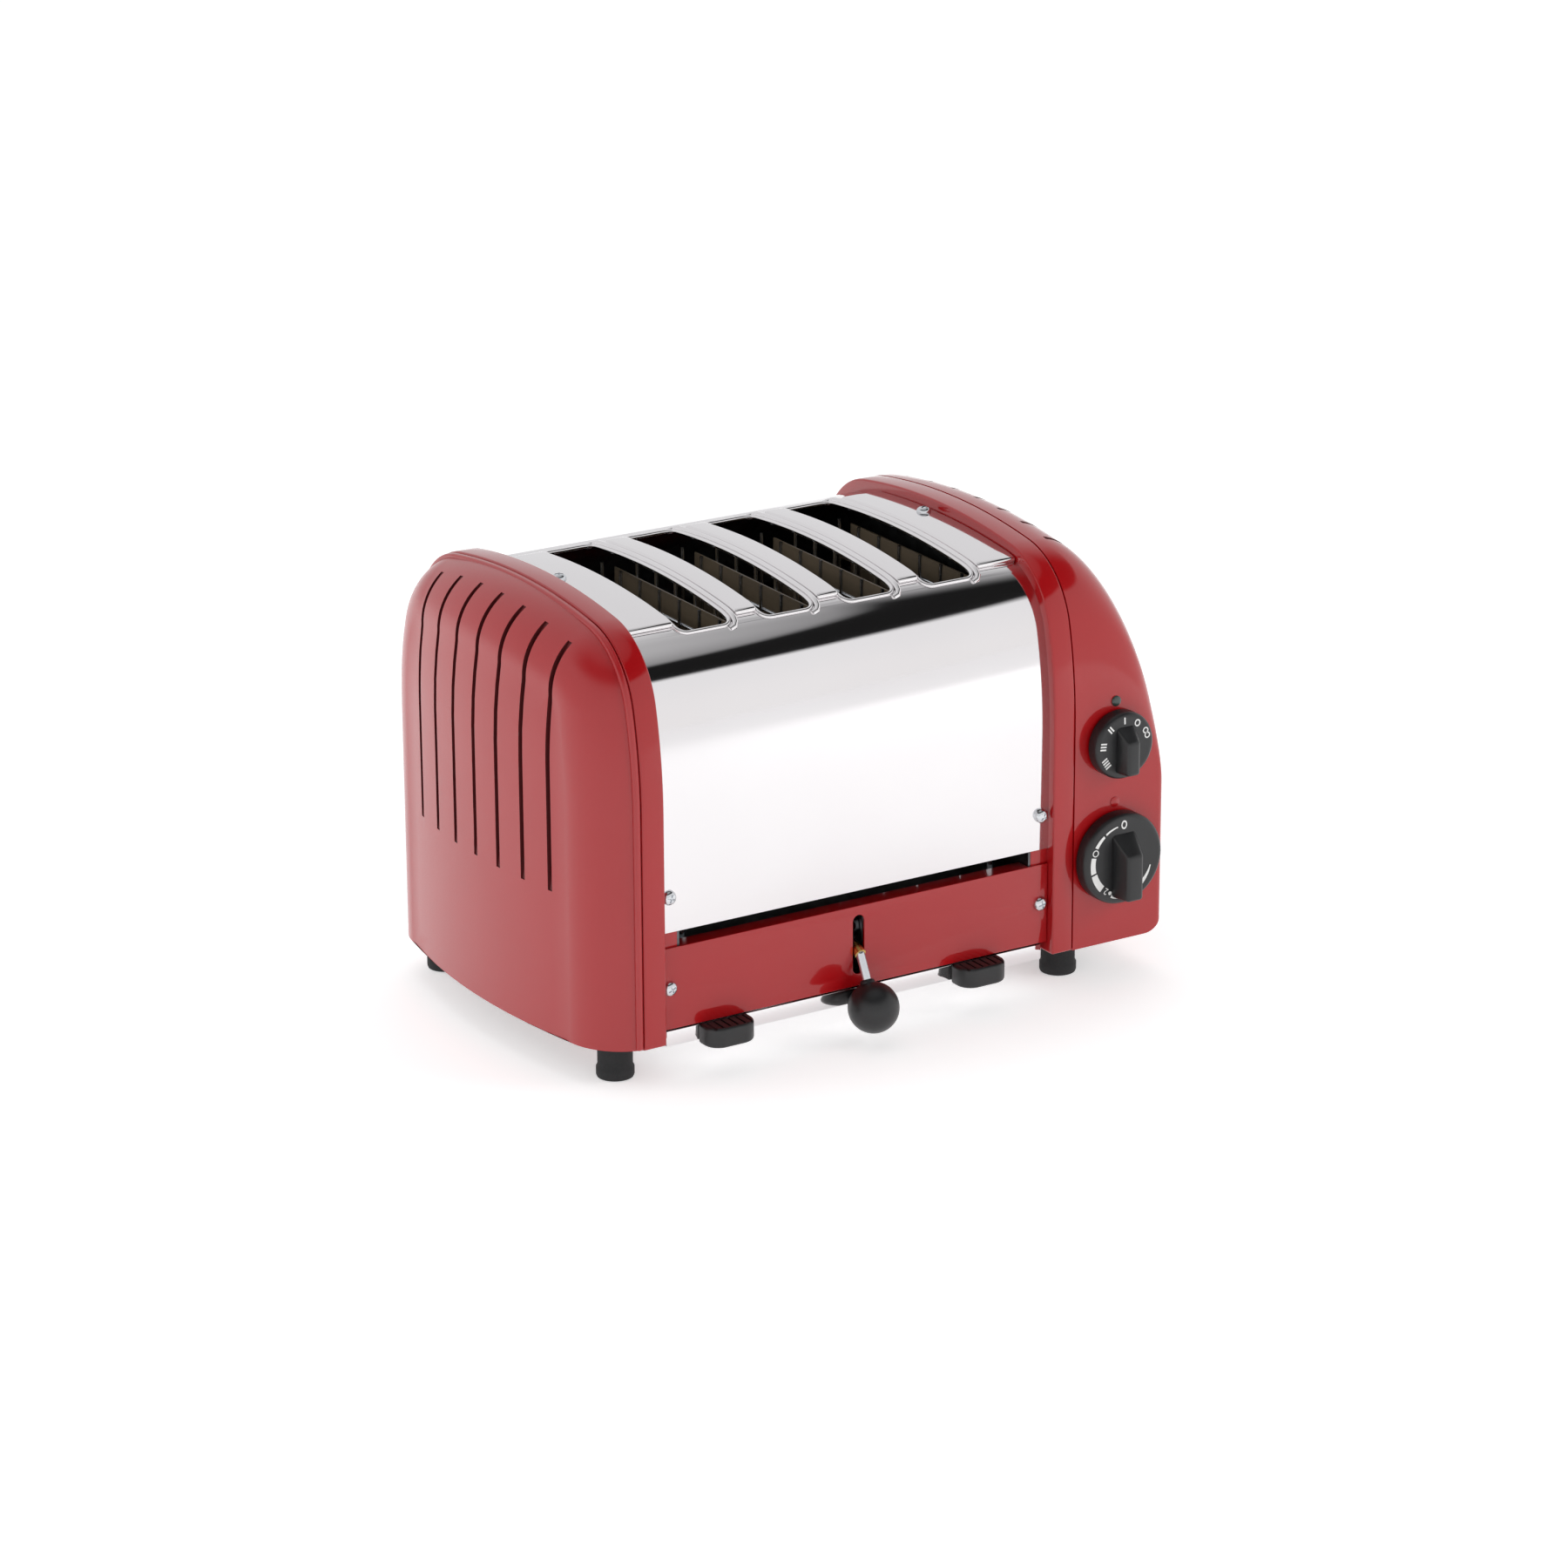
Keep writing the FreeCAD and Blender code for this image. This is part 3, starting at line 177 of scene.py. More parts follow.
def zincSheet():
    # galvanised inner sheet: dull grey with soft spangle about 6 mm across
    material, tree, shader, where = newMaterial("zincSheet")
    shader.inputs["Metallic"].default_value = 1.0
    flakes = addNode(tree, "ShaderNodeTexVoronoi", values={"Scale": 1 / (6 * mm)}, links={"Vector": where})
    ramp = addNode(tree, "ShaderNodeMix", {"data_type": "RGBA"}, links={0: flakes.outputs["Color"]})
    ramp.inputs[6].default_value = hexColor("#5c5e60")
    ramp.inputs[7].default_value = hexColor("#737577")
    tree.links.new(ramp.outputs[2], shader.inputs["Base Color"])
    roughWander(tree, shader, where, 0.3, 0.45, 4)
    return material


def blackPhenolic():
    # moulded phenolic: near black, soft sheen, fine moulding grain 0.7 mm
    material, tree, shader, where = newMaterial("blackPhenolic")
    colourWander(tree, shader, where, "#101112", "#17181a", 8)
    noise = roughWander(tree, shader, where, 0.34, 0.44, 0.7)
    bumped(tree, shader, noise.outputs["Fac"], 0.12, 0.04)
    shader.inputs["IOR"].default_value = 1.55
    return material


def footRubber():
    # nitrile rubber: matt black, slightly greyed, 0.9 mm mould texture
    material, tree, shader, where = newMaterial("footRubber")
    colourWander(tree, shader, where, "#121314", "#1e1f21", 5)
    noise = roughWander(tree, shader, where, 0.6, 0.78, 0.9)
    bumped(tree, shader, noise.outputs["Fac"], 0.3, 0.06)
    return material


def turnedBrass():
    material, tree, shader, where = newMaterial("turnedBrass")  # free cutting brass, fine tool lines
    shader.inputs["Metallic"].default_value = 1.0
    colourWander(tree, shader, where, "#c8a552", "#dcbf72", 4)
    roughWander(tree, shader, where, 0.16, 0.3, 0.5)
    return material


def micaBoard():
    # pressed mica sheet: brown grey layers with faint level streaks 9 mm apart
    material, tree, shader, where = newMaterial("micaBoard")
    scaled = addNode(tree, "ShaderNodeMapping", values={"Scale": (1, 0.12, 1)}, links={"Vector": where})
    streak = addNode(tree, "ShaderNodeTexNoise", values={"Scale": 1 / (9 * mm), "Detail": 6.0},
                     links={"Vector": scaled.outputs[0]})
    mix = addNode(tree, "ShaderNodeMix", {"data_type": "RGBA"}, links={0: streak.outputs["Fac"]})
    mix.inputs[6].default_value = hexColor("#4f463a")
    mix.inputs[7].default_value = hexColor("#857662")
    tree.links.new(mix.outputs[2], shader.inputs["Base Color"])
    roughWander(tree, shader, where, 0.35, 0.55, 5)
    bumped(tree, shader, streak.outputs["Fac"], 0.3, 0.1)
    return material


def heatingRibbon():
    material, tree, shader, where = newMaterial("heatingRibbon")  # nickel chrome ribbon, heat darkened
    shader.inputs["Metallic"].default_value = 1.0
    colourWander(tree, shader, where, "#4b443e", "#6d655d", 12)
    roughWander(tree, shader, where, 0.35, 0.55, 3)
    return material


def whitePrint():
    material, tree, shader, where = newMaterial("whitePrint")  # pad printed ink, slightly uneven
    colourWander(tree, shader, where, "#dcdcda", "#ececea", 2)
    roughWander(tree, shader, where, 0.45, 0.6, 1)
    return material


def lampLens():
    material, tree, shader, where = newMaterial("lampLens")  # unlit green polycarbonate, nearly black
    colourWander(tree, shader, where, "#2a3430", "#3a4641", 2)
    roughWander(tree, shader, where, 0.15, 0.22, 1)
    shader.inputs["IOR"].default_value = 1.58
    return material


def switchResin():
    material, tree, shader, where = newMaterial("switchResin")  # cream glass filled nylon
    colourWander(tree, shader, where, "#cfc9b8", "#ddd8c9", 6)
    roughWander(tree, shader, where, 0.5, 0.65, 1)
    return material


# the third is the groove colour: red enamel darkened with painted shade
enamel, castEnamel, paintedGrooveShade = redEnamel(), satinEnamel(), louvrePaintedShade()
steel, plated, zinc = polishedSteel(), platedSteel(), zincSheet()
phenolic, rubber, brass = blackPhenolic(), footRubber(), turnedBrass()
mica, ribbon, ink, lens, resin = micaBoard(), heatingRibbon(), whitePrint(), lampLens(), switchResin()
print("materials made")


# mesh helpers
def linked(name, data):
    thing = bpy.data.objects.new(name, data)
    bpy.context.scene.collection.objects.link(thing)
    return thing


def finishPiece(name, mesh, material, body, replaced=(), smooth=35):
    piece = linked(name, mesh)
    for one in material if isinstance(material, (list, tuple)) else [material]:
        mesh.materials.append(one)
    mesh.shade_smooth()
    mesh.set_sharp_from_angle(angle=math.radians(smooth))
    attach(piece, body)
    if replaced:
        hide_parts(*replaced)
    return piece


def meshFrom(bm, name):
    bmesh.ops.remove_doubles(bm, verts=bm.verts, dist=0.00001)
    bmesh.ops.recalc_face_normals(bm, faces=bm.faces)
    mesh = bpy.data.meshes.new(name)
    bm.to_mesh(mesh)
    bm.free()
    return mesh


def cooked(mesh, steps, name):
    # runs modifiers on a mesh and returns the finished mesh
    holder = linked(name + "Holder", mesh)
    for kind, settings in steps:
        modifier = holder.modifiers.new(kind, kind)
        for key, value in settings.items():
            setattr(modifier, key, value)
    bpy.context.view_layer.update()
    made = bpy.data.meshes.new_from_object(holder.evaluated_get(bpy.context.evaluated_depsgraph_get()))
    bpy.data.objects.remove(holder)
    made.name = name
    return made


def carved(mesh, cutter, name, **more):
    # cuts one mesh out of another
    cutTool = linked(name + "Tool", cutter)
    made = cooked(mesh, [("BOOLEAN", dict(operation="DIFFERENCE", solver="EXACT", object=cutTool,
                                          **more))], name)
    bpy.data.objects.remove(cutTool)
    return made


def softMesh(node, name, width, segments, clamp=True):
    # a node's own shape with its sharp edges rounded
    bm = bmesh.new()
    bm.from_mesh(nodes[node].data)
    bmesh.ops.remove_doubles(bm, verts=bm.verts, dist=0.00001)
    bmesh.ops.dissolve_limit(bm, angle_limit=math.radians(0.6), verts=bm.verts, edges=bm.edges)
    sharp = [edge for edge in bm.edges if len(edge.link_faces) == 2
             and edge.calc_face_angle(0) > math.radians(40)]
    bmesh.ops.bevel(bm, geom=sharp, offset=width * mm, offset_type="OFFSET", segments=segments,
                    profile=0.5, affect="EDGES", material=-1, clamp_overlap=clamp)
    return meshFrom(bm, name)


def loafShape(half, top, side, lean, crown, sweep, inset=0.0):
    # front foot, then arcs: gentle side, shoulder, crown, and the same mirrored
    half, top, side, crown = half - inset, top - inset, side - inset, crown - inset
    lean, sweep = math.radians(lean), math.radians(sweep)
    spread = half - side * (1 - math.cos(lean)) - crown * math.sin(sweep)
    shoulder = spread / (math.cos(lean) - math.sin(sweep))
    upright = top - side * math.sin(lean) - crown * (1 - math.cos(sweep))
    upright -= shoulder * (math.cos(sweep) - math.sin(lean))
    gap = side - shoulder
    near, level = half - side + gap * math.cos(lean), upright + gap * math.sin(lean)
    turn = math.pi / 2 - lean - sweep
    return {"half": half, "upright": upright, "arcs": [
        (-(half - side), upright, lean, 14), (-near, level, turn, 26), (0, top - crown, 2 * sweep, 24),
        (near, level, turn, 26), (half - side, upright, lean, 14)]}


steelShape = dict(half=100.0, top=213.0, side=228.0, lean=12.7, crown=480.0, sweep=7.6)
frameShape = dict(half=104.4, top=220.4, side=232.4, lean=12.7, crown=393.4, sweep=9.36)


def loafChain(bm, shape, x, foot, inset=0.0):
    # open chain of vertices over the outline, front foot to rear foot
    loaf = loafShape(**shape, inset=inset)
    start = bmesh.ops.create_vert(bm, co=place(x, -loaf["half"], foot))["vert"][0]
    rise = bmesh.ops.extrude_vert_indiv(bm, verts=[start])
    last = rise["verts"][0]
    last.co = place(x, -loaf["half"], loaf["upright"])
    chain = [start, last]
    for y, z, sweep, steps in loaf["arcs"]:
        for step in range(steps):
            made = bmesh.ops.extrude_vert_indiv(bm, verts=[last])["verts"]
            bmesh.ops.rotate(bm, verts=made, cent=place(x, y, z),
                             matrix=Matrix.Rotation(-sweep / steps, 3, "X"))
            last = made[0]
            chain.append(last)
    end = bmesh.ops.extrude_vert_indiv(bm, verts=[last])["verts"][0]
    end.co = place(x, loaf["half"], foot)
    chain.append(end)
    return chain


def edgesOf(chain, closed=False):
    pairs = list(zip(chain, chain[1:])) + ([(chain[-1], chain[0])] if closed else [])
    return [next(edge for edge in a.link_edges if edge.other_vert(a) is b) for a, b in pairs]


def pushed(bm, chain, closed=False):
    # extrudes a chain on the spot and returns the new chain in the same order
    made = bmesh.ops.extrude_edge_only(bm, edges=edgesOf(chain, closed))["geom"]
    fresh = {item for item in made if isinstance(item, bmesh.types.BMVert)}
    following = []
    for vert in chain:
        twin = [edge.other_vert(vert) for edge in vert.link_edges if edge.other_vert(vert) in fresh]
        following.append(twin[0])
    return following


def loafStrip(name, shape, xStart, xEnd, foot, inset, wall, bevel, closed=False, segments=3, coats=()):
    bm = bmesh.new()
    chain = loafChain(bm, shape, xStart, foot, inset)
    if closed:
        bm.edges.new((chain[-1], chain[0]))
    for vert in pushed(bm, chain, closed):
        vert.co.x += (xEnd - xStart) * mm
    mesh = meshFrom(bm, name)
    for coat in coats:
        mesh.materials.append(coat)
    # the open strip's faces must point outwards before it is thickened
    centre = place((xStart + xEnd) / 2, 0, 100)
    outward = sum(face.normal.dot(face.center - centre) for face in mesh.polygons)
    if outward < 0:
        mesh.flip_normals()
    return cooked(mesh, [("SOLIDIFY", dict(thickness=wall * mm, offset=-1.0, use_even_offset=True,
                                         material_offset=1 if coats else 0)),
                         ("BEVEL", dict(width=bevel * mm, segments=segments, limit_method="ANGLE",
                                        angle_limit=math.radians(50)))], name)


def curveMesh(name, curve):
    holder = linked(name, curve)
    bpy.context.view_layer.update()
    mesh = bpy.data.meshes.new_from_object(holder)
    bpy.data.objects.remove(holder)
    return mesh


def tubeAlong(name, points, radius, closed=False, sides=10):
    line = bpy.data.curves.new(name, "CURVE")
    line.dimensions = "3D"
    spline = line.splines.new("POLY")
    spline.points.add(len(points) - 1)
    for item, point in zip(spline.points, points):
        item.co = (*point, 1)
    spline.use_cyclic_u = closed
    line.bevel_depth = radius * mm
    line.bevel_resolution = sides // 2
    line.use_fill_caps = not closed
    return curveMesh(name, line)


def joined(name, meshes):
    bm = bmesh.new()
    for mesh in meshes:
        bm.from_mesh(mesh)
    whole = bpy.data.meshes.new(name)
    bm.to_mesh(whole)
    bm.free()
    return whole


def crownHeight(y, shape=steelShape):
    # height of the outline above a point near the middle
    loaf = loafShape(**shape)
    y = abs(y)
    crown, sweep = shape["crown"], math.radians(shape["sweep"])
    if y <= crown * math.sin(sweep):
        return shape["top"] - crown + math.sqrt(crown ** 2 - y ** 2)
    near, level = -loaf["arcs"][1][0], loaf["arcs"][1][1]
    radius = shape["top"] - crown + crown * math.cos(sweep) - level
    radius /= math.cos(sweep)
    return level + math.sqrt(max(radius ** 2 - (y - near) ** 2, 0))


# polished wrap with its slots, raised bars and rolled rims
wrap = {"reach": 112.3, "foot": 72.5, "wall": 1.0, "slotPitch": 44.5, "slotWidth": 28.5,
        "slotFront": -75.0, "slotRear": 54.0, "corner": 5.0, "barRise": 2.7, "barFront": -71.0,
        "barRear": 50.0, "barEdge": 1.5, "rim": 1.1, "rimRise": 0.1, "roll": 1.5, "rollRise": 1.1,
        "rollStep": 3.4, "rollInset": 1.4, "band": 107.3}
slotMiddles = [(number - 1.5) * wrap["slotPitch"] for number in range(4)]


def roundedSlab(name, x0, x1, y0, y1, z0, z1, corner, segments=8):
    bm = bmesh.new()
    bmesh.ops.create_cube(bm, size=1.0)
    low, high = place(x0, y0, z0), place(x1, y1, z1)
    bmesh.ops.scale(bm, vec=high - low, verts=bm.verts)
    bmesh.ops.translate(bm, vec=(low + high) / 2, verts=bm.verts)
    upright = [edge for edge in bm.edges if abs(edge.verts[0].co.z - edge.verts[1].co.z) > 1e-6]
    bmesh.ops.bevel(bm, geom=upright, offset=corner * mm, offset_type="OFFSET", segments=segments,
                    profile=0.5, affect="EDGES", material=-1)
    return meshFrom(bm, name)


def makeWrap():
    sheet = loafStrip("wrapSheet", steelShape, -wrap["reach"], wrap["reach"], wrap["foot"], 0.0,
                      wrap["wall"], 0.01, coats=(steel, zinc))
    half = wrap["slotWidth"] / 2
    cutters = []
    for number, middle in enumerate(slotMiddles):
        cutters.append(roundedSlab(f"slotTool{number}", middle - half, middle + half, wrap["slotFront"],
                                   wrap["slotRear"], 150, 230, wrap["corner"]))
    return carved(sheet, joined("slotTools", cutters), "wrapCut")


def rimLoop(middle):
    # round the slot's edge, no point further than about 3 mm from the next
    half, corner = wrap["slotWidth"] / 2, wrap["corner"]
    points = []
    for x, y, start in ((half, wrap["slotRear"], 0), (-half, wrap["slotRear"], 90),
                        (-half, wrap["slotFront"], 180), (half, wrap["slotFront"], 270)):
        cx = x - math.copysign(corner, x)
        cy = y - (corner if y > 0 else -corner)
        for step in range(7):
            angle = math.radians(start + step * 15)
            points.append((middle + cx + corner * math.cos(angle), cy + corner * math.sin(angle)))
    dense = []
    for a, b in zip(points, points[1:] + points[:1]):
        parts = max(1, round(math.dist(a, b) / 3))
        dense += [(a[0] + (b[0] - a[0]) * i / parts, a[1] + (b[1] - a[1]) * i / parts) for i in range(parts)]
    return [place(x, y, crownHeight(y) + wrap["rimRise"]) for x, y in dense]


def rollLine(middle):
    # pressed roll along the right side of a slot, curling in at both ends
    x = middle + wrap["slotWidth"] / 2 + wrap["rollStep"] - wrap["rollInset"]
    front, rear, count = wrap["slotFront"], wrap["slotRear"], 44
    points = [place(x - 4.5, front - 1.6, crownHeight(front - 1.6) - 0.6),
              place(x - 2.0, front - 1.3, crownHeight(front - 1.3) + 0.1),
              place(x - 0.5, front + 0.3, crownHeight(front) + 0.7)]
    for step in range(count + 1):
        y = front + 2.5 + (rear - front - 5) * step / count
        points.append(place(x, y, crownHeight(y) + wrap["rollRise"]))
    points += [place(x - 0.5, rear - 0.3, crownHeight(rear) + 0.7),
               place(x - 2.0, rear + 1.3, crownHeight(rear + 1.3) + 0.1),
               place(x - 4.5, rear + 1.6, crownHeight(rear + 1.6) - 0.6)]
    return points


def barMesh(name, x0, x1):
    # strip bent over the crown, thickened downwards, all edges rounded
    bm = bmesh.new()
    count, rise, front = 40, wrap["barRise"], wrap["barFront"]
    chain = bmesh.ops.create_vert(bm, co=place(x0, front, crownHeight(front) + rise))["vert"][:]
    for step in range(count):
        y = front + (wrap["barRear"] - front) * (step + 1) / count
        vert = bmesh.ops.extrude_vert_indiv(bm, verts=[chain[-1]])["verts"][0]
        vert.co = place(x0, y, crownHeight(y) + rise)
        chain.append(vert)
    for vert in pushed(bm, chain):
        vert.co.x += (x1 - x0) * mm
    mesh = meshFrom(bm, name)
    if mesh.polygons[0].normal.z < 0:
        mesh.flip_normals()
    return cooked(mesh, [("SOLIDIFY", dict(thickness=(rise + 0.6) * mm, offset=-1.0)),
                         ("BEVEL", dict(width=wrap["barEdge"] * mm, segments=5, limit_method="ANGLE",
                                        angle_limit=math.radians(50)))], name)


half = wrap["slotWidth"] / 2
slotSides = [middle + side * half for middle in slotMiddles for side in (-1, 1)]
edges = [-wrap["band"]] + slotSides + [wrap["band"]]
bars, rims, rolls = [], [], []
for number in range(5):
    left, right = edges[2 * number], edges[2 * number + 1]
    bars.append(barMesh(f"bar{number}", left + (wrap["rollStep"] + 0.7 if number else 0.2), right - 0.1))
for number, middle in enumerate(slotMiddles):
    rims.append(tubeAlong(f"rim{number}", rimLoop(middle), wrap["rim"], True))
    rolls.append(tubeAlong(f"roll{number}", rollLine(middle), wrap["roll"]))
finishPiece("steelWrap", makeWrap(), [], "toaster", ["body_shell"], 30)
finishPiece("steelBars", joined("steelBars", bars), steel, "toaster", smooth=40)
finishPiece("slotRims", joined("slotRims", rims + rolls), steel, "toaster", smooth=60)
print("wrap done")


# end frames: an outer ring, and a flange under the edge of the wrap
band = {"inner": 107.3, "outer": 119.0, "foot": 19.0, "wall": 8.2, "edge": 1.0, "flange": 98.0,
        "flangeFoot": 25.8, "flangeGap": 1.2, "flangeWall": 2.2, "flangeEdge": 0.3}
for side, node in ((-1, "left_end_frame"), (1, "right_end_frame")):
    ring = loafStrip(f"band{side}", frameShape, side * band["inner"], side * band["outer"], band["foot"], 0.0,
                     band["wall"], band["edge"], True, 4)
    finishPiece(node.replace("_end_frame", "EndFrame"), ring, enamel, "toaster", [node], 30)
    flange = loafStrip(f"flange{side}", steelShape, side * band["flange"], side * (band["inner"] + 1),
                       band["flangeFoot"], band["flangeGap"], band["flangeWall"], band["flangeEdge"])
    finishPiece(node.replace("_end_frame", "Flange"), flange, enamel, "toaster", smooth=30)
print("end frames done")


# left end casting
cap = {"start": 119.0, "depth": 31.4, "step": 0.9, "plan": 360.0, "upright": 150.0, "lean": 250.0,
       "corner": 30.0, "foot": 19.0, "lip": 3.6, "lipGap": 0.5, "lipWall": 3.0, "lipEdge": 1.3,
       "louvreTurn": 140, "louvreTip": 12.5}
louvre = {"count": 7, "pitch": 20.0, "middle": -3.7, "width": 3.0, "depth": 2.0, "foot": 90.0,
          "inside": 121}


def capEnd(y, z):
    above = max(z - cap["upright"], 0)
    flat = -(cap["start"] + cap["depth"])
    return (flat + cap["plan"] - math.sqrt(cap["plan"] ** 2 - y ** 2)
            + cap["lean"] - math.sqrt(cap["lean"] ** 2 - above ** 2))


def outlinePoints(shape, inset, foot, across=10):
    # closed loop of (y, z, normal y, normal z) over the outline and back along the foot
    bm = bmesh.new()
    chain = loafChain(bm, shape, 0, foot, inset)
    flat = [((vert.co.y / mm - midY), vert.co.z / mm) for vert in chain]
    bm.free()
    loop = []
    rises = 8
    first, second = flat[0], flat[1]
    column = [(first[0], first[1] + (second[1] - first[1]) * i / rises) for i in range(rises)]
    line = column + flat[1:-1] + [(-y, z) for y, z in reversed(column)]
    for number, (y, z) in enumerate(line):
        a, b = line[max(number - 1, 0)], line[min(number + 1, len(line) - 1)]
        dy, dz = b[0] - a[0], b[1] - a[1]
        size = math.hypot(dy, dz)
        loop.append((y, z, -dz / size, dy / size))
    width = line[-1][0]
    for step in range(1, across):
        loop.append((width - 2 * width * step / across, foot, 0.0, 0.0))
    return loop


def ringLoop(bm, points):
    ring = [bmesh.ops.create_vert(bm, co=place(*point))["vert"][0] for point in points]
    for a, b in zip(ring, ring[1:] + ring[:1]):
        bm.edges.new((a, b))
    return ring


def closeEnd(bm, ring, shrink, centre):
    # rings drawn in towards the middle, then one face
    for factor in (0.88, 0.74, 0.58, 0.42, 0.26, 0.12):
        following = pushed(bm, ring, True)
        for vert, source in zip(following, shrink):
            y = centre[0] + (source[0] - centre[0]) * factor
            z = centre[1] + (source[1] - centre[1]) * factor
            vert.co = place(source[2](y, z), y, z)
        ring = following
    bmesh.ops.contextual_create(bm, geom=edgesOf(ring, True))


def makeCap():
    bm = bmesh.new()
    loop = outlinePoints(frameShape, cap["step"], cap["foot"])
    widest = loop[0][0]
    ring = ringLoop(bm, [(-cap["start"] + 1.0, y, z) for y, z, ny, nz in loop])
    bmesh.ops.contextual_create(bm, geom=edgesOf(ring, True))
    corner = cap["corner"]
    for degree in range(0, 95, 5):
        turn = math.radians(degree)
        inset, behind = corner * (1 - math.cos(turn)), corner * (1 - math.sin(turn))
        following = pushed(bm, ring, True)
        for vert, (y, z, ny, nz) in zip(following, loop):
            if ny == 0 and nz == 0:
                endX = capEnd(y * (abs(widest) - corner) / abs(widest), z)
                innerY, innerZ = y * (abs(widest) - inset) / abs(widest), z
            else:
                innerY, innerZ = y - ny * inset, z - nz * inset
                endX = capEnd(y - ny * corner, z - nz * corner)
            vert.co = place(min(endX + behind, -cap["start"]), innerY, innerZ)
        ring = following
    shrink = [(vert.co.y / mm - midY, vert.co.z / mm, capEnd) for vert in ring]
    closeEnd(bm, ring, shrink, (0, 105))
    return meshFrom(bm, "capShell")


def sideLine(tree, y, foot, side, pivot, tipGap):
    # points and normals along the end surface in one upright plane, foot to tip
    found = []
    for z in range(int(foot), int(pivot[1]), 5):
        found.append(tree.ray_cast(place(side * pivot[0], y, z), Vector((side, 0, 0)))[:2])
    for degree in range(0, 88, 3):
        angle = math.radians(degree)
        ray = Vector((side * math.cos(angle), 0, math.sin(angle)))
        found.append(tree.ray_cast(place(side * pivot[0], y, pivot[1]), ray)[:2])
    kept = []
    limit = side * tipGap + midX
    for spot, normal in found:
        if spot is None or side * (spot.x / mm - limit) < 0:
            break
        kept.append((spot, normal))
    return kept


def louvreTool(name, line, width, depth, y):
    bm = bmesh.new()
    lower, upper = [], []
    for number, (spot, normal) in enumerate(line):
        # shallow at both tips, full depth between
        reach = min(number, len(line) - 1 - number) / 2
        deep = depth * min(1.0, 0.25 + 0.75 * reach)
        flat = Vector((normal.x, 0, normal.z)).normalized()
        lower.append(bmesh.ops.create_vert(bm, co=spot - flat * deep * mm)["vert"][0])
        upper.append(bmesh.ops.create_vert(bm, co=spot + flat * 3 * mm)["vert"][0])
    for row in (lower, upper):
        for a, b in zip(row, row[1:]):
            bm.edges.new((a, b))
    bmesh.ops.bridge_loops(bm, edges=edgesOf(lower) + edgesOf(upper))
    for vert in bm.verts:
        vert.co.y = (y + midY - width / 2) * mm
    grown = bmesh.ops.extrude_face_region(bm, geom=bm.faces[:])["geom"]
    far = [item for item in grown if isinstance(item, bmesh.types.BMVert)]
    bmesh.ops.translate(bm, vec=(0, width * mm, 0), verts=far)
    return meshFrom(bm, name)


def cutLouvres(mesh, name, side, turnHeight, tipGap):
    # each groove follows the end up and over, found from a point inside the shell
    pivot = (louvre["inside"], turnHeight)
    bm = bmesh.new()
    bm.from_mesh(mesh)
    tree = BVHTree.FromBMesh(bm)
    bm.free()
    tools = []
    for number in range(louvre["count"]):
        y = louvre["middle"] + (number - (louvre["count"] - 1) / 2) * louvre["pitch"]
        line = sideLine(tree, y, louvre["foot"], side, pivot, tipGap)
        tools.append(louvreTool(f"louvre{number}", line, louvre["width"], louvre["depth"], y))
    cutter = joined("louvreTools", tools)
    # the cut faces of the grooves take the dark groove colour, which is painted shade
    cutter.materials.append(paintedGrooveShade)
    mesh.materials.append(castEnamel if side < 0 else enamel)
    return carved(mesh, cutter, name, material_mode="TRANSFER")


capMesh = cutLouvres(makeCap(), "leftEndCap", -1, cap["louvreTurn"], cap["start"] + cap["louvreTip"])
finishPiece("leftEndCap", capMesh, [], "toaster", ["left_end_cap"], 40)
lip = loafStrip("capLip", frameShape, -cap["start"], -cap["start"] - cap["lip"], cap["foot"],
                cap["lipGap"], cap["lipWall"], cap["lipEdge"], True)
finishPiece("capLip", lip, castEnamel, "toaster", smooth=40)
print("left casting done")


# right control casting
housing = {"start": 119.0, "depth": 52.6, "shoulder": 84.0, "power": 2.35, "edge": 3.0, "foot": 19.0,
           "corner": 10.0, "steps": 30, "louvreTip": 5.5}


def makeHousing():
    bm = bmesh.new()
    loop = outlinePoints(frameShape, 0.0, housing["foot"])
    ring = ringLoop(bm, [(housing["start"] + 0.25, y, z) for y, z, ny, nz in loop])
    bmesh.ops.contextual_create(bm, geom=edgesOf(ring, True))
    finalX = housing["start"] + housing["depth"]
    springs, power, widest = housing["shoulder"], housing["power"], abs(loop[0][0])
    for step in range(1, housing["steps"] + 1):
        along = math.sin(math.pi / 2 * step / housing["steps"])
        x = housing["start"] + housing["depth"] * along
        sink = max(1 - along ** power, 0) ** (1 / power)
        rounding = max(x - finalX + housing["edge"], 0)
        narrow = housing["edge"] - math.sqrt(max(housing["edge"] ** 2 - rounding ** 2, 0))
        turning = max(x - finalX + housing["corner"], 0)
        lift = housing["corner"] - math.sqrt(max(housing["corner"] ** 2 - turning ** 2, 0))
        following = pushed(bm, ring, True)
        for vert, (y, z, ny, nz) in zip(following, loop):
            height = springs + (z - springs) * sink if z > springs else z
            height = max(height, housing["foot"] + lift)
            vert.co = place(x, y * (widest - narrow) / widest, height)
        ring = following
    shrink = [(vert.co.y / mm - midY, vert.co.z / mm, lambda y, z: finalX) for vert in ring]
    closeEnd(bm, ring, shrink, (0, 55))
    return meshFrom(bm, "housingShell")


housingMesh = cutLouvres(makeHousing(), "controlHousing", 1, housing["shoulder"],
                         housing["start"] + housing["louvreTip"])
finishPiece("controlHousing", housingMesh, [], "toaster", ["control_housing"], 40)
print("control casting done")


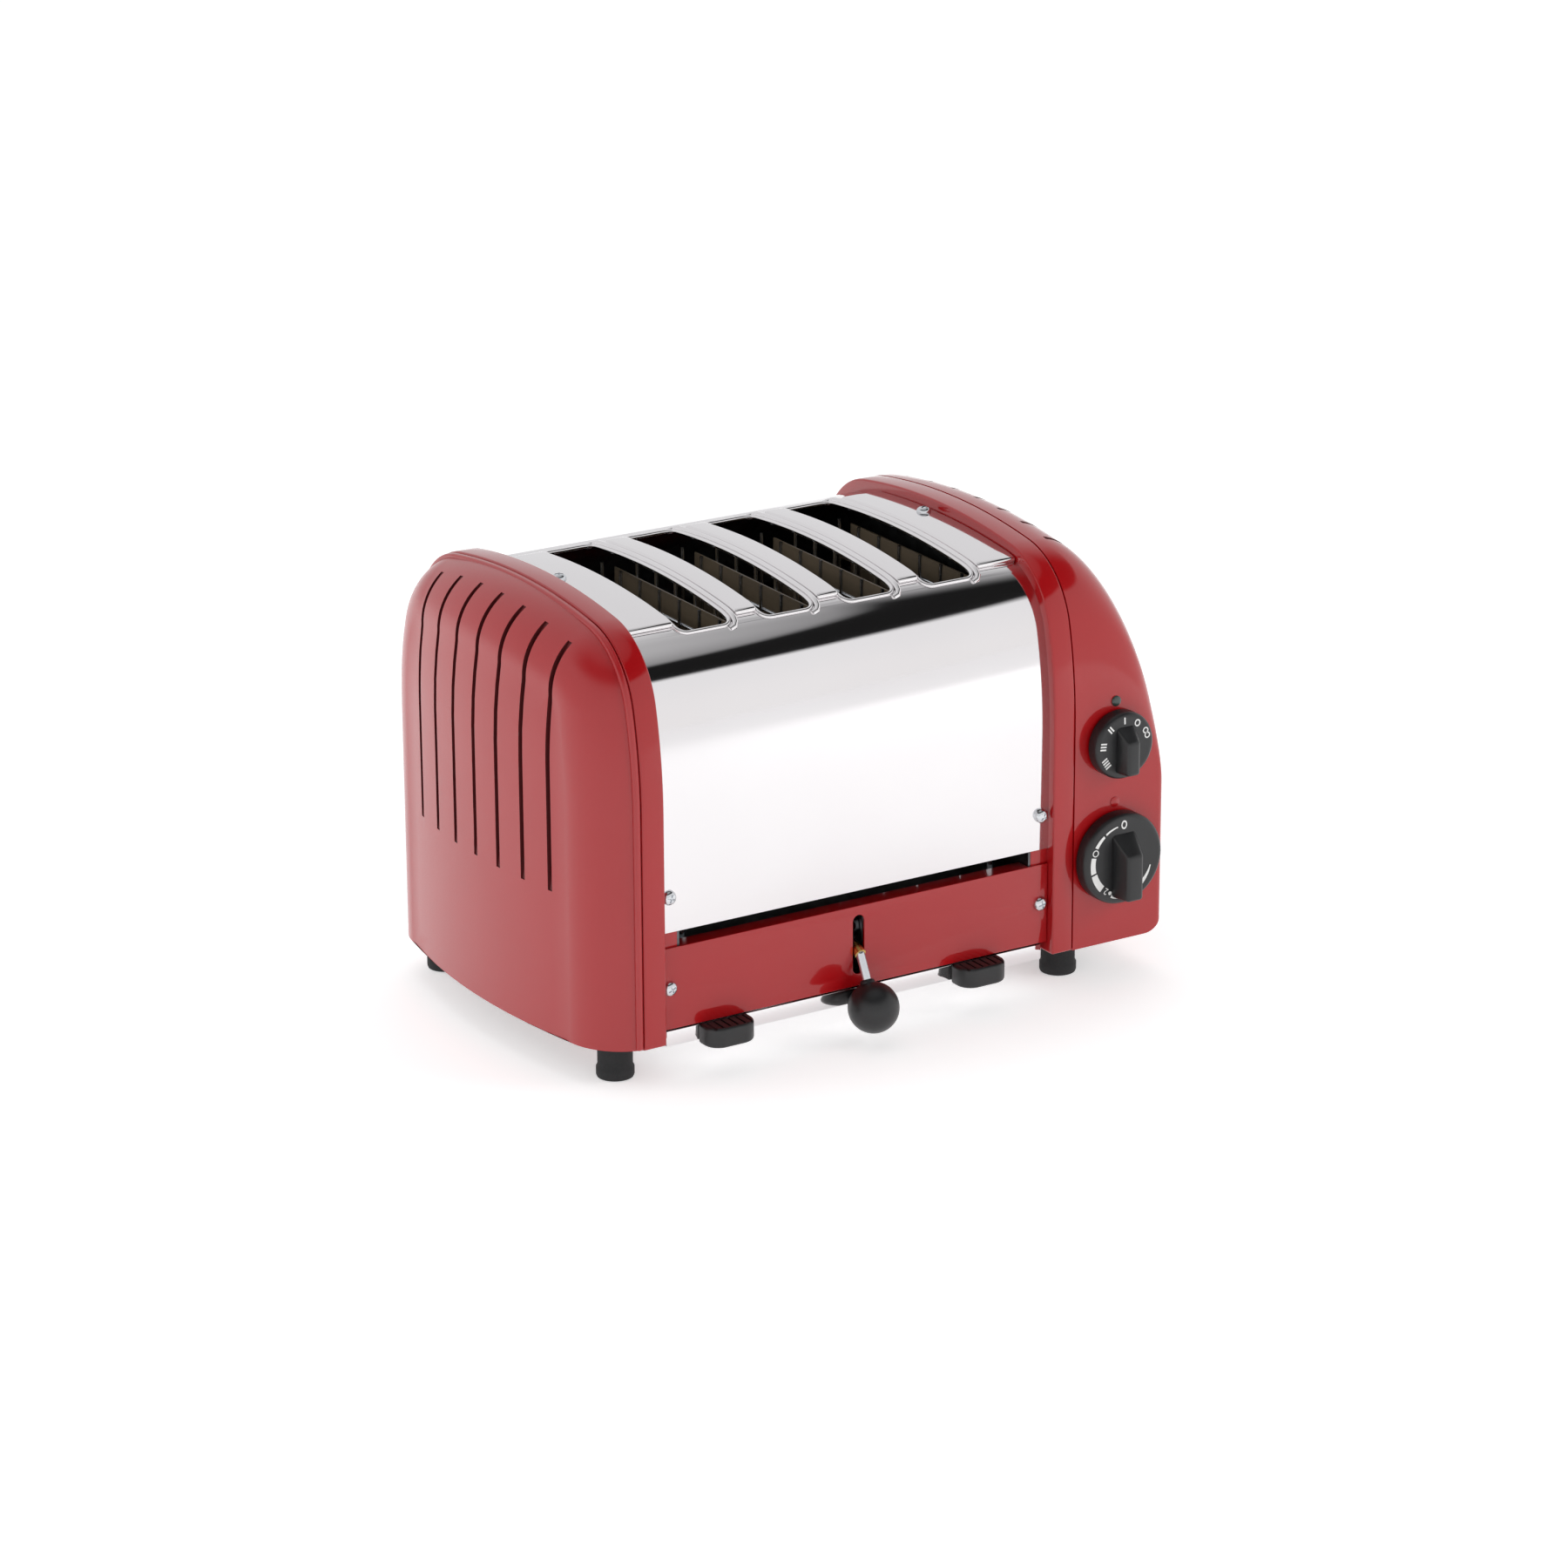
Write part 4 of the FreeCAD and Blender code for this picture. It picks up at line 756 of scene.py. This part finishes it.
# panels, tray, rails, bracket and gland: their own shapes with rounded edges
for node, name, material, width, segments in (
        ("front_lower_panel", "frontLowerPanel", enamel, 0.5, 3),
        ("rear_lower_panel", "rearLowerPanel", enamel, 0.5, 3),
        ("crumb_tray", "crumbTray", steel, 0.3, 2),
        ("tray_rail_left", "trayRailLeft", zinc, 0.2, 1),
        ("tray_rail_right", "trayRailRight", zinc, 0.2, 1),
        ("lever_bracket", "leverBracket", zinc, 0.3, 2),
        ("cable_gland", "cableGland", phenolic, 0.6, 2)):
    finishPiece(name, softMesh(node, name, width, segments), material, "toaster", [node])


def fullSpin(bm, axis, steps):
    bmesh.ops.spin(bm, geom=bm.verts[:] + bm.edges[:], cent=(0, 0, 0), axis=axis, dvec=(0, 0, 0),
                   angle=2 * math.pi, steps=steps, use_merge=True)


def lathed(profile, steps):
    # profile of (radius, height) in millimetres, spun about Z
    bm = bmesh.new()
    last = None
    for radius, height in profile:
        vert = bmesh.ops.create_vert(bm, co=(radius * mm, 0, height * mm))["vert"][0]
        if last is not None:
            bm.edges.new((last, vert))
        last = vert
    fullSpin(bm, (0, 0, 1), steps)
    return bm


def turned(name, profile, centre, axis, material, body, replaced=(), smooth=35, steps=48):
    bm = lathed(profile, steps)
    bmesh.ops.transform(bm, matrix=axis.to_4x4(), verts=bm.verts)
    bmesh.ops.translate(bm, vec=centre, verts=bm.verts)
    return finishPiece(name, meshFrom(bm, name), material, body, replaced, smooth)


frontward = Matrix.Rotation(math.radians(90), 3, "X")  # local +Z to -Y
rearward = Matrix.Rotation(math.radians(-90), 3, "X")
upward = Matrix.Identity(3)


def nodeMiddle(node):
    low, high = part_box(node)
    return (low + high) / 2


def block(width, depth, height):
    bm = bmesh.new()
    bmesh.ops.create_cube(bm, size=1.0)
    bmesh.ops.scale(bm, vec=(width * mm, depth * mm, height * mm), verts=bm.verts)
    return bm


foot = {"radius": 9.0, "height": 19.0, "waist": 8.3}
for node in ("foot_front_left", "foot_front_right", "foot_rear_left", "foot_rear_right"):
    middle = nodeMiddle(node)
    r, h, waist = foot["radius"], foot["height"], foot["waist"]
    words = node.split("_")
    turned("foot" + words[1].title() + words[2].title(),
           [(0, 0), (r - 1.4, 0), (r - 0.4, 0.4), (r, 1.4), (r, 5.0), (waist, 6.2), (waist, h), (0, h)],
           Vector((middle.x, middle.y, 0)), upward, rubber, "toaster", [node])
print("feet done")

# pan heads with a cross recess
screw = {"radius": 3.5, "height": 2.4, "recess": 1.1, "arm": 2.0, "slit": 0.75, "fromBand": 4.4,
         "topFromBand": 6.2, "topSeat": 215.7}


def screwHead(name, centre, axis, spin):
    r, h = screw["radius"], screw["height"]
    profile = [(0, h), (1.2, h - 0.03), (2.2, h - 0.3), (3.0, h - 0.85), (r, h - 1.7), (r, -0.4), (0, -0.4)]
    head = meshFrom(lathed(profile, 28), name)
    for turn in (0, 90):
        bar = block(2 * screw["arm"], screw["slit"], 2 * screw["recess"])
        bmesh.ops.rotate(bar, cent=(0, 0, 0), matrix=Matrix.Rotation(math.radians(turn), 3, "Z"),
                         verts=bar.verts)
        bmesh.ops.translate(bar, vec=(0, 0, h * mm), verts=bar.verts)
        head = carved(head, meshFrom(bar, "arm"), name)
    head.transform(Matrix.Translation(centre) @ axis.to_4x4() @ Matrix.Rotation(math.radians(spin), 4, "Z"))
    return head


screwX, topScrewX = wrap["band"] - screw["fromBand"], wrap["band"] - screw["topFromBand"]
for node, height in (("shell_screws", 89.6), ("panel_screws", 45.0)):
    heads = []
    for side in (-1, 1):
        for axis, y in ((frontward, -steelShape["half"]), (rearward, steelShape["half"])):
            heads.append(screwHead("head", place(side * screwX, y, height), axis, 20 + 37 * side + height))
    finishPiece(node.replace("_s", "S"), joined(node, heads), plated, "toaster", [node], 35)
heads = []
for side in (-1, 1):
    heads.append(screwHead("head", place(side * topScrewX, 0, screw["topSeat"]), upward, 30 * side))
finishPiece("topScrews", joined("topScrews", heads), plated, "toaster", ["top_screws"], 35)
print("screws done")

# ribbed tray grips
grip = {"edge": 1.5, "grooves": 6, "first": 3.2, "pitch": 3.9, "half": 0.5, "deep": 0.9, "corner": 0.45}
for node, name in (("tray_grip_left", "trayGripLeft"), ("tray_grip_right", "trayGripRight")):
    low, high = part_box(node)
    y0, y1, top = low.y / mm - midY + 1.5, high.y / mm - midY - 2, high.z / mm
    ribs = []
    for number in range(grip["grooves"]):
        x = low.x / mm - midX + grip["first"] + number * grip["pitch"]
        ribs.append(roundedSlab("rib", x - grip["half"], x + grip["half"], y0, y1, top - grip["deep"],
                                top + 1, grip["corner"], 3))
    gripMesh = carved(softMesh(node, name, grip["edge"], 4, clamp=False), joined("ribTools", ribs), name)
    finishPiece(name, gripMesh, phenolic, "toaster", [node], 35)
print("grips done")


# lever: bent rod with a ball
lever = {"pivot": (-84.0, 50.0), "elbow": (-101.5, 41.0), "ball": (-113.0, 18.0), "rod": 2.2,
         "ballRadius": 12.3, "bend": 5.0}


def leverPoints():
    pivot, elbow, knob = (Vector((0, *lever[key])) for key in ("pivot", "elbow", "ball"))
    before = elbow + (pivot - elbow).normalized() * lever["bend"]
    after = elbow + (knob - elbow).normalized() * lever["bend"]
    points = [pivot, before]
    for step in range(1, 8):
        t = step / 8
        points.append(before * (1 - t) ** 2 + elbow * 2 * t * (1 - t) + after * t ** 2)
    return [place(*point) for point in points + [after, knob]]


finishPiece("leverArm", softMesh("lever_arm", "leverArm", 0.3, 2), plated, "lever", ["lever_arm"])
rodMesh = tubeAlong("leverRod", leverPoints(), lever["rod"] + 0.02, sides=20)
finishPiece("leverRod", rodMesh, plated, "lever", smooth=50)
knobCentre = place(0, *lever["ball"])
bm = bmesh.new()
bmesh.ops.create_uvsphere(bm, u_segments=64, v_segments=40, radius=(lever["ballRadius"] - 0.05) * mm)
bmesh.ops.translate(bm, vec=knobCentre, verts=bm.verts)
finishPiece("leverBall", meshFrom(bm, "leverBall"), phenolic, "lever", ["lever_ball_knob"], 60)
outer = (Vector((0, *lever["elbow"])) - Vector((0, *lever["ball"]))).normalized()
ferruleAxis = Vector((0, 0, 1)).rotation_difference(outer).to_matrix()
turned("leverFerrule", [(0, 0), (3.6, 0), (3.6, 1.0), (3.1, 1.8), (2.1, 2.2), (0, 2.2)],
       knobCentre + outer * (lever["ballRadius"] - 0.9) * mm, ferruleAxis, phenolic, "lever")
print("lever done")


# knobs: a round skirt with a tapered grip across it; reach, tall and slope are shares of the radius
knob = {"skirt": 7.6, "dish": 0.1, "reach": 0.46, "tall": 1.42, "taper": 0.62, "slope": 0.42, "edge": 1.6,
        "sunk": 1}


def knobPiece(node, name, radius, marks):
    low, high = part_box(node)
    centre = Vector(((low.x + high.x) / 2, 0, (low.z + high.z) / 2))
    faceY, tipY = high.y, low.y
    skirt, dished, sunk = knob["skirt"], knob["skirt"] - knob["dish"], knob["sunk"]
    turned(name + "Skirt",
           [(0, 0), (radius - 0.6, 0), (radius, 0.6), (radius, skirt - 2.0), (radius - 0.5, skirt - 0.8),
            (radius - 1.7, skirt), (radius - 3.0, dished), (radius * 0.55, dished), (0, dished)],
           Vector((centre.x, faceY, centre.z)), frontward, phenolic, marks["body"], [node], 40,
           72)
    reach = min((faceY - tipY) / mm - skirt, radius * knob["reach"])
    bm = block(marks["gripWidth"], reach + sunk, knob["tall"] * radius)
    for vert in bm.verts:
        if vert.co.y < 0:
            vert.co.x *= knob["taper"]
            if vert.co.z > 0:
                vert.co.z -= radius * knob["slope"] * mm
    bmesh.ops.bevel(bm, geom=bm.edges[:], offset=knob["edge"] * mm, offset_type="OFFSET", segments=4,
                    profile=0.5, affect="EDGES", material=-1)
    gripY = faceY - (skirt - sunk + (reach + sunk) / 2) * mm
    bmesh.ops.translate(bm, vec=(centre.x, gripY, centre.z + marks["gripDrop"] * mm), verts=bm.verts)
    finishPiece(name + "Grip", meshFrom(bm, name + "Grip"), phenolic, marks["body"], smooth=40)
    return centre, faceY - dished * mm


def markAt(centre, faceY, angle, radius):
    # clockwise from the top, seen from the front
    return Vector((centre.x + math.sin(math.radians(angle)) * radius * mm, faceY,
                   centre.z + math.cos(math.radians(angle)) * radius * mm))


inkHalf = 0.12  # half the height of a printed mark, thick enough to stand clear of the skirt


def onFace(bm, centre, faceY, angle, name):
    # turned clockwise about the knob's middle and laid on its face
    bmesh.ops.rotate(bm, cent=(0, 0, 0), matrix=Matrix.Rotation(math.radians(angle), 3, "Y"), verts=bm.verts)
    bmesh.ops.translate(bm, vec=(centre.x, faceY, centre.z), verts=bm.verts)
    return meshFrom(bm, name)


def dash(centre, faceY, angle, radius, length, width, aside=0.0):
    bm = block(width, 2 * inkHalf, length)
    bmesh.ops.translate(bm, vec=(aside * mm, 0, radius * mm), verts=bm.verts)
    return onFace(bm, centre, faceY, angle, "dash")


def lineCorners(inner, outer):
    return [(inner, -inkHalf), (outer, -inkHalf), (outer, inkHalf), (inner, inkHalf)]


def ringMark(spot, radius, width, stretch=1.0):
    bm = bmesh.new()
    corners = lineCorners(radius - width / 2, radius + width / 2)
    verts = [bmesh.ops.create_vert(bm, co=(x * mm, y * mm, 0))["vert"][0] for x, y in corners]
    for a, b in zip(verts, verts[1:] + verts[:1]):
        bm.edges.new((a, b))
    fullSpin(bm, (0, 1, 0), 24)
    bmesh.ops.scale(bm, vec=(1, 1, stretch), verts=bm.verts)
    bmesh.ops.translate(bm, vec=spot, verts=bm.verts)
    return meshFrom(bm, "ring")


def arcMark(centre, faceY, startAngle, endAngle, inner, outer, outerEnd=None):
    bm = bmesh.new()
    outerEnd = outer if outerEnd is None else outerEnd
    steps = max(4, round(abs(endAngle - startAngle) / 4))
    corners = lineCorners(inner, outer)
    bm.faces.new([bmesh.ops.create_vert(bm, co=(0, y * mm, z * mm))["vert"][0] for z, y in corners])
    bmesh.ops.spin(bm, geom=bm.verts[:] + bm.edges[:] + bm.faces[:], cent=(0, 0, 0), axis=(0, 1, 0),
                   dvec=(0, 0, 0), angle=math.radians(endAngle - startAngle), steps=steps)
    for vert in bm.verts:
        size = math.hypot(vert.co.x, vert.co.z)
        if size > (inner + outer) / 2 * mm:
            turn = math.degrees(math.atan2(vert.co.x, vert.co.z))
            share = min(max(turn / (endAngle - startAngle), 0), 1)
            wanted = (outer + (outerEnd - outer) * share) * mm
            vert.co.x *= wanted / size
            vert.co.z *= wanted / size
    return onFace(bm, centre, faceY, startAngle, "arc")


selectorMarks = {"body": "selector", "gripWidth": 11.0, "gripDrop": -1.2}
centre, faceY = knobPiece("selector_knob", "selectorKnob", 16.6, selectorMarks)
marks = []
for count, angle in ((1, -3), (2, -42), (3, -82), (4, -122)):
    for number in range(count):
        marks.append(dash(centre, faceY, angle, 12.9, 3.4, 0.75, (number - (count - 1) / 2) * 1.45))
marks.append(ringMark(markAt(centre, faceY, 32, 12.6), 1.35, 0.6, 1.1))
marks.append(ringMark(markAt(centre, faceY, 62, 13.0), 1.3, 0.6, 1.0))
marks.append(ringMark(markAt(centre, faceY, 74, 13.0), 1.3, 0.6, 1.0))
finishPiece("selectorPrint", joined("selectorPrint", marks), ink, "selector", smooth=40)

timerMarks = {"body": "timer", "gripWidth": 14.0, "gripDrop": -2.2}
centre, faceY = knobPiece("timer_knob", "timerKnob", 22.8, timerMarks)
marks = [ringMark(markAt(centre, faceY, 0, 17.6), 1.35, 0.6, 1.35)]
for start, end, inner, outer, outerEnd in ((-12, -36, 17.1, 17.8, 18.1), (-40, -62, 16.9, 18.2, 18.9),
                                           (-78, -104, 16.4, 19.0, 19.3), (-107, -136, 16.1, 19.3, 19.6),
                                           (-158, -178, 15.9, 19.7, 19.8), (-181, -205, 15.8, 19.8, 19.0),
                                           (-208, -250, 16.4, 19.0, 17.0)):
    marks.append(arcMark(centre, faceY, start, end, inner, outer, outerEnd))
marks.append(ringMark(markAt(centre, faceY, -70, 17.4), 1.5, 0.5))
marks.append(ringMark(markAt(centre, faceY, -154, 17.6), 0.5, 0.9))
digit = bpy.data.curves.new("two", "FONT")
digit.body = "2"
digit.size = 4.6 * mm
digit.extrude = inkHalf * mm
digit.align_x = "CENTER"
digit.align_y = "CENTER"
digitAngle = -145
two = curveMesh("two", digit)
two.transform(Matrix.Translation(markAt(centre, faceY, digitAngle, 17.5))
              @ Matrix.Rotation(math.radians(digitAngle), 4, "Y") @ Matrix.Rotation(math.radians(90), 4, "X"))
marks.append(two)
finishPiece("timerPrint", joined("timerPrint", marks), ink, "timer", smooth=40)

housingFront = place(0, -frameShape["half"], 0).y
for node, name, profile, material in (
        ("pilot_lamp", "pilotLamp",
         [(0, -3), (2.55, -3), (2.55, 0.2), (2.2, 0.55), (1.2, 0.75), (0, 0.8)], lens),
        ("timer_index_pip", "indexPip", [(0, -2), (2.55, -2), (2.55, 0.25), (2.3, 0.45), (0, 0.5)], enamel)):
    middle = nodeMiddle(node)
    turned(name, profile, Vector((middle.x, housingFront, middle.z)), frontward, material, "toaster",
           [node], 50)
print("controls done")

# finishes on the pieces that keep their CAD shape
finishes = [
    (zinc, ["front_cross_member", "rear_cross_member", "left_chassis_plate", "right_chassis_plate",
            "heat_shield", "left_base_plate", "right_base_plate", "carriage_bars", "guide_rails",
            "element_rails_lower", "element_rails_upper"] + [f"bread_rack_{n}" for n in (1, 2, 3, 4)]),
    (plated, ["guide_rods", "lever_pivot_shaft", "timer_spindle", "selector_spindle"]
     + [f"bread_guard_{n}" for n in (1, 2, 3, 4)]),
    (brass, ["lever_collar"]),
    (mica, [f"heating_element_{n}" for n in (1, 2, 3, 4, 5)]),
    (ribbon, ["element_windings"]),
    (resin, ["timer_body", "selector_body", "terminal_block"])]
for material, names in finishes:
    for name in names:
        mesh = nodes[name].data
        mesh.materials.clear()
        mesh.materials.append(material)
print("finishes set")

# floor, light, camera
bm = bmesh.new()
bmesh.ops.create_grid(bm, x_segments=1, y_segments=1, size=9.0)
floorMesh = bpy.data.meshes.new("floor")
bm.to_mesh(floorMesh)
bm.free()
floor = linked("floor", floorMesh)
floorPaint = bpy.data.materials.new("paleFloor")
floorPaint.use_nodes = True
paint = floorPaint.node_tree.nodes["Principled BSDF"]
paint.inputs["Base Color"].default_value = (0.9, 0.9, 0.9, 1)
paint.inputs["Roughness"].default_value = 0.9
paint.inputs["Specular IOR Level"].default_value = 0.1
paint.inputs["Emission Color"].default_value = (1, 1, 1, 1)
paint.inputs["Emission Strength"].default_value = 0.45
floorMesh.materials.append(floorPaint)
floor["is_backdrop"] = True

world = bpy.data.worlds.new("studio")
bpy.context.scene.world = world
world.use_nodes = True
tree = world.node_tree
ground = tree.nodes["Background"]
direction = addNode(tree, "ShaderNodeTexCoord").outputs["Generated"]
parts = addNode(tree, "ShaderNodeSeparateXYZ", links={0: direction})
ramp = addNode(tree, "ShaderNodeValToRGB", links={0: parts.outputs["Z"]})
stops = ramp.color_ramp
stops.elements[0].position, stops.elements[0].color = 0.0, (0.98, 0.97, 0.97, 1)
stops.elements[1].position, stops.elements[1].color = 1.0, (0.55, 0.55, 0.56, 1)
for position, value in ((0.58, 0.93), (0.63, 0.012), (0.83, 0.012), (0.86, 0.30), (0.95, 0.5)):
    stops.elements.new(position).color = (value, value, value * 1.01, 1)
back = addNode(tree, "ShaderNodeMapRange", {"interpolation_type": "SMOOTHSTEP"},
               {"From Min": 0.0, "From Max": 0.5, "To Min": 0.0, "To Max": 1.0},
               {"Value": parts.outputs["Y"]})
sky = addNode(tree, "ShaderNodeMix", {"data_type": "RGBA"}, links={0: back.outputs[0], 6: ramp.outputs[0]})
sky.inputs[7].default_value = (0.8, 0.8, 0.81, 1)
tree.links.new(sky.outputs[2], ground.inputs["Color"])
ground.inputs["Strength"].default_value = 1.0

studio = {"key": ((-2.2, 0.9, 2.0), 1.6, 14), "top": ((0.2, 0.9, 2.6), 2.0, 9),
          "side": ((1.3, -1.1, 0.9), 0.7, 7)}
for name, (spot, width, power) in studio.items():
    lamp = bpy.data.lights.new(name, "AREA")
    lamp.shape, lamp.size, lamp.energy = "SQUARE", width, power
    holder = linked(name, lamp)
    holder.location = spot
    holder.visible_glossy = False  # lights the pieces without showing as a square in them
    holder.rotation_euler = (Vector((0, 0, 0.1)) - Vector(spot)).to_track_quat("-Z", "Y").to_euler()

view = {"spot": (-1.2979, -2.1034, 0.9694), "yaw": -32.02, "pitch": 19.42, "roll": -0.17, "lens": 125.34,
        "shift": (-0.01322, -0.0030)}
cameraData = bpy.data.cameras.new("camera")
cameraData.lens, cameraData.sensor_width = view["lens"], 36.0
cameraData.shift_x, cameraData.shift_y = view["shift"]
cameraData.clip_end = 50
camera = linked("camera", cameraData)
camera.location = view["spot"]
turn = Euler((math.radians(90 - view["pitch"]), 0, math.radians(view["yaw"]))).to_matrix()
camera.rotation_euler = (turn @ Matrix.Rotation(math.radians(view["roll"]), 3, "Z")).to_euler()
bpy.context.scene.camera = camera
bpy.context.scene.view_settings.view_transform = "Standard"
print("studio done")

bpy.context.view_layer.update()
low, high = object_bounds()
